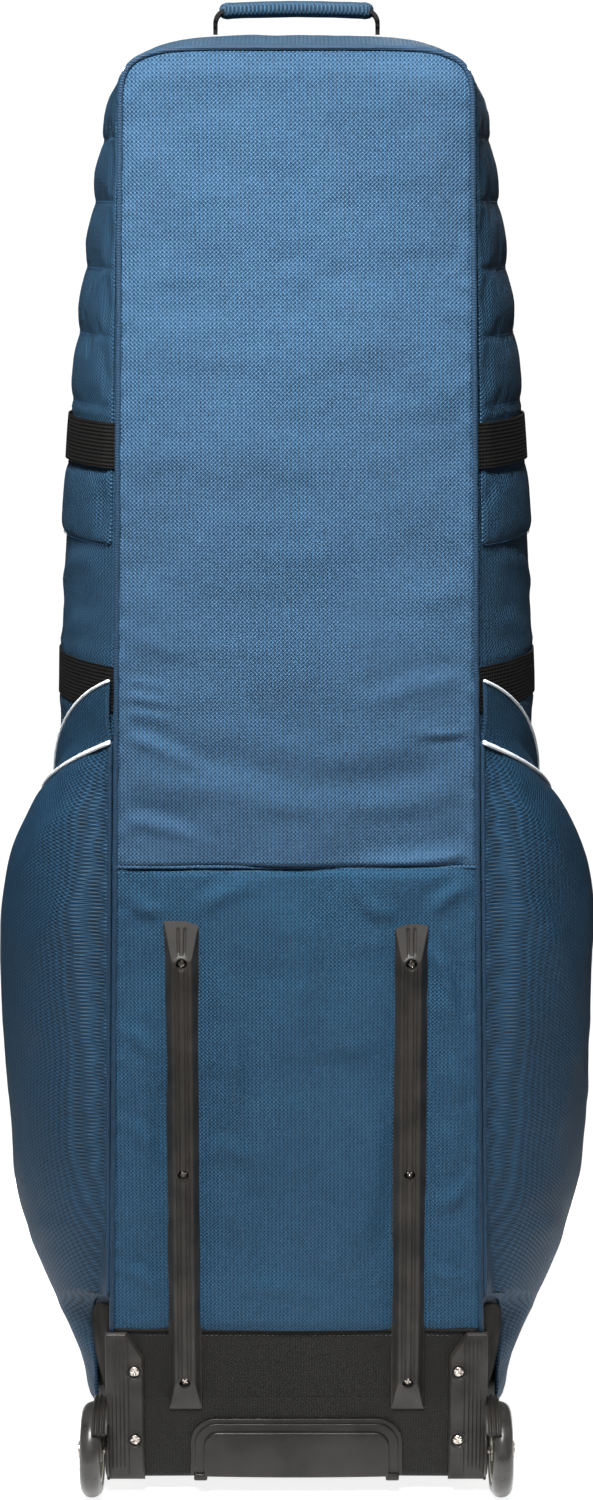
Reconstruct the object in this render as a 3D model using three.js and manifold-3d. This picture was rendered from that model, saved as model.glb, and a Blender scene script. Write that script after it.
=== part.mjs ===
// A soft-sided golf travel case, standing upright on two wheels and two front feet.
// Millimetres, +Z up. The back of the case, with its skid rails and wheels, faces -Y, and
// the front cover, which zips open and folds down about its bottom edge, faces +Y.
// While it is built, y = 0 is the back panel's face; at the end the group is moved so that
// the middle of its footprint is the origin.
import * as THREE from "three";
import { mergeVertices } from "three/addons/utils/BufferGeometryUtils.js";
import Module from "manifold-3d";

const wasm = await Module();
wasm.setup();
const { PI, abs, cos, max, min, sin, sqrt } = Math;
const SIDES = { left: -1, right: 1 };

// ---- Driving dimensions ---------------------------------------------------------------
const BASE_Z = 15; // underside of the moulded tray
const TRAY_TOP = 98.5;
const TRAY_BACK_TOP = 157;
const TRAY_WALL = 4;
const SEAM_Z = 581; // where the two back panels meet
const CORNER_Z = 1190; // the rounded top starts here
const SQUARE = { back: 6, mid: 4, zip: 4 }; // exponents of the rounded corners, 2 is a circle
const MID_Y = 110; // depth at which the sides are widest
const ZIP_Y = 215; // plane of the main zip
const ZIP_GAP = 3; // from that plane to the cloth on each side of it
const COVER_DEPTH = 108; // front cover's reach past the zip
const CLOTH = 4; // padded cloth wall
const PANEL = 5; // padded back panel
const GAP = 0.4; // between pieces that touch
const WIDEST = 210; // half-width of the stuffed sides at their widest
const WIDEST_Z = 620;
const LEVEL_TOPS = { back: 1262, mid: 1277, zip: 1268 };
const QUILT_SEAMS = [857, 918, 972, 1030, 1085, 1140, 1190];
const QUILT_GAP = 1.6; // between the padding and the wall it is sewn to
const QUILT_THICK = 6.5;
const QUILT_THIN = 2.2;
const QUILT_EDGE = 7; // from a seam to the full thickness of a channel
const QUILT_DEPTH = { rear: 14, front: 206, hem: 8 };
const STRAPS = { upper: 941, lower: 735 }; // heights of the compression straps
const STRAP_WIDTH = 38;
const WEBBING = 2;
const WHEEL = { radius: 42, width: 20, x: 183, y: 2, z: 42 };
const AXLE_RADIUS = 4;
const TYRE_BORE = 30;
const HUB_CLEARANCE = 0.2; // between the hub's bore and the axle
const RAIL = { x: 99, bottom: 83, top: 533, foot: 29, crown: 15, height: 13, ramp: 33 };
const RAIL_SCREWS = { lower: 112, middle: 306, upper: 497 };
const GUARD = { inner: 136, outer: 169.6, top: 156, screwX: 144.5, face: -5, seat: -2.6, thick: 2.7 };
const WING = { z: 139, half: 39, reach: 58, y: 2.5, offset: 0.9, thick: 2.5, clear: 5 };
const FENDER = { clear: 2, thick: 2.6, width: 12, ribs: [2, 6, 10], from: 0.75, to: 2.37 };
const GUARD_SCREWS = { lower: 54, upper: 119 };
const SCREW = { hole: 2.5, shank: 2, railHead: 3.4, railRecess: 4.7, guardHead: 4.8, guardRecess: 6.4 };
const POCKET = { bottom: 60, front: 203, bulge: 57, skin: 3, rear: 8, rearLow: 66, taper: 230 };
const PIPING = { z: 691, fall: 0.62, radius: 2.4, clear: 6.5 }; // it falls towards the front
const HANDLE = { y: 105, half: 70, pivotZ: 1285, width: 15, thick: 3.5, rise: 14.8, gripHalf: 62 };
const BUCKLE = { rear: 178, seam: 206, front: 221, depth: 9, tab: 262, half: 22, clear: 1.4 };
const SLIDERS = { lower: 436, upper: 462 }; // heights of the two main zip sliders, meeting
const SLIDER_CLEAR = 3.6; // from the zip's edge to a slider
const POCKET_SLIDER = { y: 160, below: 15, clear: 6 }; // below the piping

// ---- Materials ------------------------------------------------------------------------
const paint = (color, roughness, metalness = 0) =>
  new THREE.MeshStandardMaterial({ color, roughness, metalness });
const BLUE_CLOTH = paint(0x2f5d88, 0.75);
const NAVY_CLOTH = paint(0x22405f, 0.75);
const BLACK_CLOTH = paint(0x2b2a2b, 0.8);
const WEBBING_BLACK = paint(0x1e1c1b, 0.85);
const PLASTIC = paint(0x35322f, 0.5);
const RUBBER = paint(0x3c3b3a, 0.45);
const HUB_PLASTIC = paint(0xcfcdbd, 0.4);
const STEEL = paint(0xb8b2aa, 0.3, 1);

// ---- Solids ---------------------------------------------------------------------------
function toSolid(geometry) {
  const g = geometry.index ? geometry.toNonIndexed() : geometry.clone();
  const bare = new THREE.BufferGeometry().setAttribute("position", g.getAttribute("position"));
  const merged = mergeVertices(bare, 1e-3);
  const mesh = new wasm.Mesh({
    numProp: 3,
    vertProperties: merged.attributes.position.array,
    triVerts: new Uint32Array(merged.index.array),
  });
  return new wasm.Manifold(mesh);
}

function fromSolid(solid) {
  const mesh = solid.getMesh();
  const g = new THREE.BufferGeometry();
  g.setAttribute("position", new THREE.BufferAttribute(mesh.vertProperties, 3));
  g.setIndex(new THREE.BufferAttribute(mesh.triVerts, 1));
  return g;
}

const join = (first, ...others) =>
  fromSolid(others.reduce((s, g) => s.add(toSolid(g)), toSolid(first)));
const cut = (body, ...tools) =>
  fromSolid(tools.reduce((s, g) => s.subtract(toSolid(g)), toSolid(body)));
const common = (a, b) => fromSolid(toSolid(a).intersect(toSolid(b)));

function block([x0, x1], [y0, y1], [z0, z1]) {
  const g = new THREE.BoxGeometry(x1 - x0, y1 - y0, z1 - z0);
  return g.translate((x0 + x1) / 2, (y0 + y1) / 2, (z0 + z1) / 2);
}

// A rod along Y, from y0 to y1.
function rodY(radius, x, z, [y0, y1], sides = 16) {
  const g = new THREE.CylinderGeometry(radius, radius, y1 - y0, sides);
  return g.translate(x, (y0 + y1) / 2, z);
}

// A rod along X, from x0 to x1.
function rodX(radius, [x0, x1], y, z, sides = 24) {
  const g = new THREE.CylinderGeometry(radius, radius, x1 - x0, sides).rotateZ(PI / 2);
  return g.translate((x0 + x1) / 2, y, z);
}

const shapeOf = (points) => new THREE.Shape(points.map(([a, b]) => new THREE.Vector2(a, b)));
const extrude = (shape, depth, curveSegments = 6) =>
  new THREE.ExtrudeGeometry(shape, { depth, bevelEnabled: false, curveSegments });
// A shape drawn in X and Z, from y0 to y1.
const extrudeY = (shape, [y0, y1], segments) =>
  extrude(shape, y1 - y0, segments).rotateX(PI / 2).translate(0, y1, 0);
// A shape drawn in Y and Z, from x0 to x1.
const extrudeX = (shape, [x0, x1], segments) =>
  extrude(shape, x1 - x0, segments).rotateY(PI / 2).rotateX(PI / 2).translate(x0, 0, 0);

function flip(geometry) {
  const g = geometry.index ? geometry.toNonIndexed() : geometry;
  const p = g.getAttribute("position");
  for (let i = 0; i < p.count; i += 3) {
    const a = new THREE.Vector3().fromBufferAttribute(p, i + 1);
    const b = new THREE.Vector3().fromBufferAttribute(p, i + 2);
    p.setXYZ(i + 1, b.x, b.y, b.z);
    p.setXYZ(i + 2, a.x, a.y, a.z);
  }
  return g;
}

// The same geometry on one side of the case or the other: it is drawn on the right.
function onSide(geometry, side) {
  if (side > 0) return geometry;
  return flip(geometry.clone().scale(-1, 1, 1));
}

// A closed sheet of cloth between two faces, each a function of (u, v) that gives a point.
// rims says which of its edges are closed: the u edges, at the ends of us, and the v edges.
function sheet(us, vs, outer, inner, rims = { u0: true, u1: true, v0: true, v1: true }) {
  const n = us.length;
  const m = vs.length;
  const points = [];
  for (const face of [outer, inner]) for (const v of vs) for (const u of us) points.push(face(u, v));
  const at = (layer, i, j) => points[layer * n * m + j * n + i];
  const corners = [];
  const quad = (a, b, c, d) => corners.push(a, b, c, a, c, d);
  for (let j = 0; j < m - 1; j++)
    for (let i = 0; i < n - 1; i++) {
      quad(at(0, i, j), at(0, i + 1, j), at(0, i + 1, j + 1), at(0, i, j + 1));
      quad(at(1, i, j), at(1, i, j + 1), at(1, i + 1, j + 1), at(1, i + 1, j));
    }
  for (let j = 0; j < m - 1; j++) {
    if (rims.u0) quad(at(0, 0, j), at(0, 0, j + 1), at(1, 0, j + 1), at(1, 0, j));
    if (rims.u1) quad(at(0, n - 1, j + 1), at(0, n - 1, j), at(1, n - 1, j), at(1, n - 1, j + 1));
  }
  for (let i = 0; i < n - 1; i++) {
    if (rims.v0) quad(at(0, i + 1, 0), at(0, i, 0), at(1, i, 0), at(1, i + 1, 0));
    if (rims.v1) quad(at(0, i, m - 1), at(0, i + 1, m - 1), at(1, i + 1, m - 1), at(1, i, m - 1));
  }
  return closed(corners);
}

// Triangles from a list of corners, without those that have no area, facing outwards.
function closed(corners) {
  const kept = [];
  let volume = 0;
  for (let i = 0; i < corners.length; i += 3) {
    const [a, b, c] = corners.slice(i, i + 3);
    if (min(a.distanceTo(b), b.distanceTo(c), c.distanceTo(a)) < 2e-3) continue;
    kept.push(a, b, c);
    volume += a.dot(new THREE.Vector3().crossVectors(b, c)) / 6;
  }
  const g = new THREE.BufferGeometry().setFromPoints(kept);
  return volume > 0 ? g : flip(g);
}

// The same geometry with its faces outwards.
function outward(geometry) {
  const flat = geometry.toNonIndexed();
  const p = flat.getAttribute("position");
  return closed(Array.from({ length: p.count }, (_, i) => new THREE.Vector3().fromBufferAttribute(p, i)));
}

const steps = (from, to, count) =>
  Array.from({ length: count + 1 }, (_, i) => from + ((to - from) * i) / count);

// ---- The shape of the case ------------------------------------------------------------
// Half-widths at a height, at the back panel, at the widest depth and at the zip.
const HALF = {
  back: (z) => 167 - 0.0196 * z,
  mid: (z) => WIDEST - (z > WIDEST_Z ? 1.5e-4 : 8e-5) * (z - WIDEST_Z) ** 2,
  zip: (z) => 192 - 0.022 * z,
};

// The case's outline at one level, on the right. t is 0 at the tray's top, CORNER_T where the
// corner starts and 1 at the middle of the top.
const CORNER_T = 0.7;
const tAt = (z) => (CORNER_T * (z - TRAY_TOP)) / (CORNER_Z - TRAY_TOP);
function outline(level, t) {
  if (t <= CORNER_T) {
    const z = TRAY_TOP + ((CORNER_Z - TRAY_TOP) * t) / CORNER_T;
    return [HALF[level](max(z, TRAY_TOP)), z];
  }
  const angle = ((t - CORNER_T) / (1 - CORNER_T)) * (PI / 2);
  const [c, s] = [max(0, cos(angle)), sin(angle)];
  const reach = (c ** SQUARE[level] + s ** SQUARE[level]) ** (-1 / SQUARE[level]);
  const z = CORNER_Z + (LEVEL_TOPS[level] - CORNER_Z) * reach * s;
  return [HALF[level](z) * reach * c, z];
}

// A point of the wall between the back panel and the zip: a parabola through the three levels.
function wall(t, y) {
  const weights = {
    back: ((y - MID_Y) * (y - ZIP_Y)) / (MID_Y * ZIP_Y),
    mid: (y * (ZIP_Y - y)) / (MID_Y * (ZIP_Y - MID_Y)),
    zip: (y * (y - MID_Y)) / (ZIP_Y * (ZIP_Y - MID_Y)),
  };
  const p = new THREE.Vector3(0, y, 0);
  for (const [level, weight] of Object.entries(weights)) {
    const [x, z] = outline(level, t);
    p.x += weight * x;
    p.z += weight * z;
  }
  return p;
}

// A point that far outside the wall, along the wall's normal.
function offWall(t, y, offset) {
  const step = 1e-3;
  const here = wall(t, y);
  const alongT = wall(t + step, y).sub(wall(t - step, y));
  const alongY = wall(t, y + 1).sub(wall(t, y - 1));
  return here.addScaledVector(alongY.cross(alongT).normalize(), offset);
}
const skin = (y, z, offset) => offWall(tAt(z), y, offset);

// A point of the front cover: t as in outline, turn 0 at the zip and PI / 2 in the middle.
function cover(t, turn, inset) {
  const [c, s] = [max(0, cos(turn)), sin(turn)];
  const reach = (c ** SQUARE.zip + s ** SQUARE.zip) ** (-1 / SQUARE.zip);
  const [x, z] = outline("zip", t);
  const share = reach * c;
  const top = z > CORNER_Z ? CORNER_Z + (z - CORNER_Z) * share : z;
  const drop = z > CORNER_Z ? (inset * (z - CORNER_Z) * share) / (LEVEL_TOPS.zip - CORNER_Z) : 0;
  const narrow = (x - inset * min(1, x / inset)) * share;
  return new THREE.Vector3(narrow, COVER_Y + (COVER_DEPTH - inset) * reach * s, top - drop);
}
const COVER_Y = ZIP_Y + ZIP_GAP;

// ---- Assembly -------------------------------------------------------------------------
const group = new THREE.Group();
function add(name, geometry, material) {
  const mesh = new THREE.Mesh(geometry, material);
  mesh.name = name;
  group.add(mesh);
  return mesh;
}
function addPair(name, material, make) {
  for (const [word, side] of Object.entries(SIDES))
    add(`${name}_${word}`, onSide(make(), side), material);
}

// Back panels, with the screws' holes.
const THROUGH = [-30, 30]; // a hole right through the back, in y
const screwHoles = (names) =>
  names.flatMap((n) => [-1, 1].map((s) => rodY(SCREW.hole, s * RAIL.x, RAIL_SCREWS[n], THROUGH, 9)));
function panelOutline(z0, z1) {
  const straight = steps(tAt(z0), tAt(min(z1, CORNER_Z)), 4);
  const corner = z1 > CORNER_Z ? steps(CORNER_T, 1, 12).slice(1) : [];
  const rise = [...straight, ...corner];
  const right = rise.map((t) => outline("back", t)).map(([x, z]) => [max(0, x - 0.5), z]);
  const left = right.filter(([x]) => x > 0.01).map(([x, z]) => [-x, z]).reverse();
  return shapeOf([...right, ...left]);
}
const upperPanel = extrudeY(panelOutline(SEAM_Z + GAP, LEVEL_TOPS.back), [0, PANEL]);
const lowerPanel = extrudeY(panelOutline(TRAY_BACK_TOP + 1, SEAM_Z), [0, PANEL]);
const board = block([-140, 140], [PANEL + GAP, PANEL + GAP + 3], [165, 560]);
add("back_panel_upper", upperPanel, BLUE_CLOTH);
add("back_panel_lower", cut(lowerPanel, ...screwHoles(["middle", "upper"])), BLUE_CLOTH);
add("back_board", cut(board, ...screwHoles(["middle", "upper"])), PLASTIC);

// Side walls and the top, from the back panel to the zip.
const TOP_SPLIT = CORNER_T + (1 - CORNER_T) * 0.42;
const WALL_YS = steps(PANEL + GAP, ZIP_Y - ZIP_GAP, 8);
const wallFace = (y, t) => offWall(t, y, 0);
const wallLining = (y, t) => offWall(t, y, -CLOTH);
const SIDE_TS = [...steps(tAt(TRAY_TOP + 1), CORNER_T, 9), ...steps(CORNER_T, TOP_SPLIT, 4).slice(1)];
addPair("side_wall", NAVY_CLOTH, () => sheet(WALL_YS, SIDE_TS, wallFace, wallLining));

function topPoint(v, y, offset) {
  const p = offWall(1 - abs(v), y, offset);
  return v < 0 ? p : p.setX(-p.x);
}
const topReach = 1 - TOP_SPLIT - 0.002;
const topTs = steps(-topReach, topReach, 14);
add(
  "top_gusset",
  sheet(WALL_YS, topTs, (y, v) => topPoint(v, y, 0), (y, v) => topPoint(v, y, -CLOTH)),
  NAVY_CLOTH,
);

// Quilted pads on the upper sides: thin along each seam and under the strap.
function quiltThickness(z) {
  const underStrap = abs(z - STRAPS.upper) < STRAP_WIDTH / 2 + 1;
  const nearSeam = min(...QUILT_SEAMS.map((seam) => abs(z - seam))) < 1;
  return underStrap || nearSeam ? QUILT_THIN : QUILT_THICK;
}
const quiltZs = QUILT_SEAMS.slice(0, -1).flatMap((z, i) => {
  const next = QUILT_SEAMS[i + 1];
  const holdsStrap = z < STRAPS.upper && next > STRAPS.upper;
  return holdsStrap ? [z] : [z, z + QUILT_EDGE, next - QUILT_EDGE];
});
const quiltTs = [...quiltZs.map(tAt), ...steps(CORNER_T, TOP_SPLIT, 4)];
const quiltOuter = (y, t) => {
  const edge = y <= QUILT_DEPTH.rear || y >= QUILT_DEPTH.front;
  const capEnd = t > TOP_SPLIT - 0.01;
  const z = TRAY_TOP + ((CORNER_Z - TRAY_TOP) * t) / CORNER_T;
  const thick = t > CORNER_T + 0.01 ? QUILT_THICK : quiltThickness(z);
  return offWall(t, y, QUILT_GAP + (edge || capEnd ? QUILT_THIN : thick));
};
const quiltInner = (y, t) => offWall(t, y, QUILT_GAP);
const { rear: quiltRear, front: quiltFront, hem } = QUILT_DEPTH;
const quiltYs = [quiltRear, ...steps(quiltRear + hem, quiltFront - hem, 7), quiltFront];
addPair("quilted_pad", NAVY_CLOTH, () => sheet(quiltYs, quiltTs, quiltOuter, quiltInner));

// The moulded tray. Its outline steps in beside the wheels.
function trayOutline(inset) {
  const sideYs = steps(92, ZIP_Y, 3);
  const right = [
    [166 - inset, inset],
    [166 - inset, 52],
    ...sideYs.map((y) => [wall(0, y).x - 0.3 - inset, y]),
    ...steps(0.15, PI / 2, 8).map((turn) => {
      const p = cover(0, turn, 0.3 + inset);
      return [p.x, p.y];
    }),
  ];
  const left = right.filter(([x]) => x > 0.01).map(([x, y]) => [-x, y]).reverse();
  return shapeOf([...right, ...left]);
}
const bossHoles = [[140, 175], [-175, -140]].map((xs) => rodX(8, xs, WHEEL.y, WHEEL.z, 16));
const guardHoles = [-1, 1].flatMap((s) =>
  Object.values(GUARD_SCREWS).map((z) => rodY(SCREW.hole, s * GUARD.screwX, z, THROUGH, 9)),
);
const trayBody = cut(
  extrude(trayOutline(0), TRAY_TOP - BASE_Z).translate(0, 0, BASE_Z),
  extrude(trayOutline(TRAY_WALL), TRAY_TOP).translate(0, 0, BASE_Z + TRAY_WALL),
);
const trayBack = block([-162.5, 162.5], [0, TRAY_WALL], [TRAY_TOP - 5, TRAY_BACK_TOP]);
const trayHoles = [...screwHoles(["lower"]), ...guardHoles, ...bossHoles];
add("base_tray", cut(join(trayBody, trayBack), ...trayHoles), BLACK_CLOTH);

// The smooth plate at the middle of the base's back edge: a low rim round a raised field.
function archPlate(half, bottom, top, radius) {
  const s = new THREE.Shape();
  s.moveTo(-half, bottom);
  s.lineTo(half, bottom);
  s.lineTo(half, top - radius);
  s.absarc(half - radius, top - radius, radius, 0, PI / 2);
  s.lineTo(-half + radius, top);
  s.absarc(-half + radius, top - radius, radius, PI / 2, PI);
  return s;
}
const kickPlate = join(
  extrudeY(archPlate(95, 18, 73, 22), [-3, -GAP]),
  extrudeY(archPlate(91, 18, 69, 18.5), [-5, -2]),
  extrudeY(archPlate(83, 18, 62, 13), [-8, -2]),
);
add("kick_plate", kickPlate, PLASTIC);

// Front feet, as high as the wheels stand below the tray.
addPair("front_foot", PLASTIC, () => {
  const foot = new THREE.CylinderGeometry(17, 14, BASE_Z - GAP, 16).rotateX(PI / 2);
  return foot.translate(112, 282, (BASE_Z - GAP) / 2);
});

// Skid rails: a ridge with two grooves and ramped ends, with a recess for each screw.
function railGeometry() {
  const [foot, crown, height] = [RAIL.foot / 2, RAIL.crown / 2, RAIL.height];
  const deep = 0.9 - height;
  const groove = (x) => [[x + 0.7, -height], [x + 0.7, deep], [x - 0.7, deep], [x - 0.7, -height]];
  const section = [[foot, 0], [foot, -2.5], [crown, -height], ...groove(2.7), ...groove(-2.7)];
  section.push([-crown, -height], [-foot, -2.5], [-foot, 0]);
  const bar = extrude(shapeOf(section), RAIL.top - RAIL.bottom).translate(RAIL.x, -GAP, RAIL.bottom);
  const slope = [[0, RAIL.bottom], [0, RAIL.top], [-2, RAIL.top], [-height - 1, RAIL.top - RAIL.ramp]];
  slope.push([-height - 1, RAIL.bottom + RAIL.ramp - 4], [-2, RAIL.bottom]);
  const ramps = extrudeX(shapeOf(slope), [RAIL.x - 30, RAIL.x + 30]).translate(0, -GAP, 0);
  const recesses = Object.values(RAIL_SCREWS).flatMap((z) => [
    rodY(SCREW.railRecess, RAIL.x, z, [THROUGH[0], RECESS_Y], 12),
    rodY(SCREW.hole, RAIL.x, z, THROUGH, 9),
  ]);
  return cut(common(bar, ramps), ...recesses);
}
const RECESS_Y = -GAP - RAIL.height + 5.5;
addPair("skid_rail", PLASTIC, railGeometry);

// Screws: a domed head seated at y, with its shank towards +Y.
function screw(x, y, z, length, head) {
  const shank = [[SCREW.shank, 0], [SCREW.shank, length], [0, length]];
  const profile = [[0, -2.1], [head * 0.6, -1.9], [head, -1], [head, 0], ...shank];
  const lathe = new THREE.LatheGeometry(profile.map(([r, h]) => new THREE.Vector2(r, h)), 9);
  return outward(lathe).translate(x, y - 0.1, z);
}
for (const [height, z] of Object.entries(RAIL_SCREWS))
  addPair(`rail_screw_${height}`, STEEL, () => screw(RAIL.x, RECESS_Y, z, 17, SCREW.railHead));

// Corner guards: a ribbed back plate, a wing round the side, and the wheel's cheek and fender.
function fenderPieces() {
  const arch = (inner, outer, [x0, x1], from, to) => {
    const s = new THREE.Shape();
    s.absarc(0, 0, outer, from, to, false);
    s.absarc(0, 0, inner, to, from, true);
    return extrudeX(s, [x0, x1], 7).translate(0, WHEEL.y, WHEEL.z);
  };
  const inside = WHEEL.radius + FENDER.clear;
  const across = [GUARD.outer - GUARD.thick, GUARD.outer + FENDER.width];
  const { from, to } = FENDER;
  const band = arch(inside, inside + FENDER.thick, across, from, to);
  const ribs = FENDER.ribs.map((x) =>
    arch(inside + 2, inside + 4, [GUARD.outer + x - 1, GUARD.outer + x + 1], from + 0.1, to - 0.1),
  );
  return [band, ...ribs];
}

function guardGeometry() {
  const { inner, outer, top, face, thick } = GUARD;
  const corners = [[inner, BASE_Z], [outer, BASE_Z], [outer, top], [inner + 17, top], [inner, top - 24]];
  const back = extrudeY(shapeOf(corners), [face, -GAP]);
  const ribs = [152, 156, 160].map((x) => block([x, x + 1.6], [face - 0.9, face + 1], [24, 150]));
  const side = [outer - thick, outer];
  const flange = block(side, [face, 4.6], [BASE_Z, top]);
  const cheek = rodX(25, side, WHEEL.y, WHEEL.z + 2, 18);
  const web = block(side, [-4, 40], [44, 92]);
  const boss = rodX(7, [150, outer], WHEEL.y, WHEEL.z, 16);
  const tip = 4; // the wing's reach at its two ends
  const reach = (v) => tip + (WING.reach - tip) * sqrt(1 - v * v);
  const wingPoint = (u, v, offset) => skin(WING.y + u * reach(v), WING.z + WING.half * v, offset);
  const wing = sheet(
    steps(0, 1, 4),
    steps(-0.985, 0.985, 8),
    (u, v) => wingPoint(u, v, WING.offset + WING.thick),
    (u, v) => wingPoint(u, v, WING.offset),
  );
  const holes = Object.values(GUARD_SCREWS).flatMap((z) => [
    rodY(SCREW.guardRecess, GUARD.screwX, z, [THROUGH[0], GUARD.seat], 12),
    rodY(SCREW.hole, GUARD.screwX, z, THROUGH, 9),
  ]);
  const whole = join(back, ...ribs, flange, cheek, web, boss, wing, ...fenderPieces());
  return cut(whole, ...holes, rodX(AXLE_RADIUS + HUB_CLEARANCE, [140, 200], WHEEL.y, WHEEL.z));
}
addPair("corner_guard", PLASTIC, guardGeometry);
for (const [height, z] of Object.entries(GUARD_SCREWS))
  addPair(`guard_screw_${height}`, STEEL, () => screw(GUARD.screwX, GUARD.seat, z, 12, SCREW.guardHead));

// Wheels: a rounded tyre on a spoked hub that turns on the axle bolt.
function ringX(profile, segments) {
  const points = [...profile, profile[0]].map(([r, x]) => new THREE.Vector2(r, x));
  const lathe = new THREE.LatheGeometry(points, segments).rotateZ(-PI / 2);
  return outward(lathe).translate(WHEEL.x, WHEEL.y, WHEEL.z);
}
const halfWheel = WHEEL.width / 2;
const tread = [-1, -0.5, 0, 0.5, 1].map((s) => [WHEEL.radius - 4.5 * s * s, s * (halfWheel - 1.5)]);
const tyreBead = [[34, halfWheel], [TYRE_BORE, halfWheel - 3]];
const tyreProfile = [[TYRE_BORE, 3 - halfWheel], [34, -halfWheel], ...tread, ...tyreBead];
addPair("tyre", RUBBER, () => ringX(tyreProfile, 28));
const rim = TYRE_BORE - GAP;
const bore = AXLE_RADIUS + HUB_CLEARANCE;
const hubProfile = [[9, -9.6], [9, -6], [24, -4], [26, -7.5], [rim, -7.5], [rim, 7.5], [26, 7.5]];
hubProfile.push([24, 4], [9, 6], [9, 9.6], [bore, 9.6], [bore, -9.6]);
addPair("hub", HUB_PLASTIC, () => {
  const windows = steps(0, (2 * PI * 5) / 6, 5).map((turn) => {
    const at = [WHEEL.y + 17 * cos(turn), WHEEL.z + 17 * sin(turn)];
    return rodX(4.2, [WHEEL.x - 15, WHEEL.x + 15], ...at, 8);
  });
  return cut(ringX(hubProfile, 20), ...windows);
});
addPair("axle_bolt", STEEL, () => {
  const shank = rodX(AXLE_RADIUS, [151, WHEEL.x + 10.5], WHEEL.y, WHEEL.z);
  return join(shank, rodX(7.5, [WHEEL.x + 10, WHEEL.x + 13.5], WHEEL.y, WHEEL.z, 6));
});

// Side pockets: a stuffed pouch with a raised main tier below its piping.
const pocketTop = (y) => min(712, 740 - 0.5 * y);
// Its rear edge follows the back seam, and low down it stands back round the guard's wing.
const pocketRear = (z) => {
  const height = min(1, max(0, (z - WING.z) / (WING.half + WING.clear)));
  return POCKET.rear + (POCKET.rearLow - POCKET.rear) * sqrt(1 - height * height);
};
const pipingZ = (y) => PIPING.z - PIPING.fall * y;
function pocketHeight(y, z) {
  const hem = 4; // the height along the edges that are sewn down
  const rear = pocketRear(z) - 2;
  const across = max(0, sin((PI * (y - rear)) / (POCKET.front + 2 - rear))) ** 0.6;
  const level = z - pipingZ(y); // from the piping up
  const low = max(0, sin((PI / 2) * min(1, (z - POCKET.bottom) / POCKET.taper))) ** 1.35;
  const high = level > -178 ? max(0, 1 - ((level + 178) / 186) ** 3.6) : 1;
  return across * (hem + (POCKET.bulge - hem) * min(low, high));
}
function pocketAt(u, v, offset) {
  const zAt = (y) => POCKET.bottom + (pocketTop(y) - POCKET.bottom) * v;
  const rear = pocketRear(zAt(POCKET.rear));
  const y = rear + (POCKET.front - rear) * u;
  return skin(y, zAt(y), offset(y, zAt(y)));
}
const pocketOuter = (y, z) => GAP + POCKET.skin + pocketHeight(y, z);
const pocketInner = (y, z) => GAP + max(0, pocketHeight(y, z) - 0.3);
// Rows of points up the pocket, closer together beside the wing.
const wingRows = [0, 0.4, 0.7, 0.88, 1].map((share) => {
  const z = WING.z + (WING.half + WING.clear) * share;
  return (z - POCKET.bottom) / (pocketTop(0) - POCKET.bottom);
});
const pocketRows = [0, 0.03, 0.08, ...wingRows, ...steps(0.27, 0.81, 6), 0.86, 0.91, 0.96, 1];
addPair("side_pocket", BLUE_CLOTH, () =>
  sheet(
    [0, 0.05, ...steps(0.15, 0.85, 5), 0.95, 1],
    pocketRows,
    (u, v) => pocketAt(u, v, pocketOuter),
    (u, v) => pocketAt(u, v, pocketInner),
  ),
);

// A cord of that radius along a list of points, closed at its ends.
function cord(points, radius, sides = 6) {
  const rings = points.map((p, i) => {
    const next = points[min(i + 1, points.length - 1)];
    const ahead = next.clone().sub(points[max(i - 1, 0)]).normalize();
    const across = new THREE.Vector3(1, 0, 0).cross(ahead).normalize();
    const up = ahead.clone().cross(across);
    return steps(0, 2 * PI, sides).slice(0, -1).map((turn) =>
      p.clone().addScaledVector(across, radius * cos(turn)).addScaledVector(up, radius * sin(turn)),
    );
  });
  const corners = [];
  const [first, last] = [rings[0], rings[rings.length - 1]];
  for (let i = 0; i < sides; i++) {
    const j = (i + 1) % sides;
    for (let k = 0; k < rings.length - 1; k++) {
      corners.push(rings[k][i], rings[k + 1][i], rings[k + 1][j]);
      corners.push(rings[k][i], rings[k + 1][j], rings[k][j]);
    }
    corners.push(points[0], first[i], first[j]);
    corners.push(points[points.length - 1], last[j], last[i]);
  }
  return closed(corners);
}
addPair("pocket_piping", HUB_PLASTIC, () => {
  const at = (y) => skin(y, pipingZ(y), pocketOuter(y, pipingZ(y)) + PIPING.clear);
  return cord(steps(12, 198, 12).map(at), PIPING.radius);
});

// A band of webbing round the side, from the back seam to a buckle.
function sideBand(z, [y0, y1], offset) {
  const zs = [z - STRAP_WIDTH / 2, z + STRAP_WIDTH / 2];
  const [outer, inner] = [offset + WEBBING, offset].map((rise) => (y, h) => skin(y, h, rise));
  return sheet(steps(y0, y1, 12), zs, outer, inner);
}
const strapOffset = { upper: QUILT_GAP + QUILT_THIN + GAP, lower: GAP };
for (const [height, z] of Object.entries(STRAPS))
  addPair(`strap_${height}`, WEBBING_BLACK, () =>
    sideBand(z, [2, BUCKLE.rear - 3], strapOffset[height]),
  );

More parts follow.
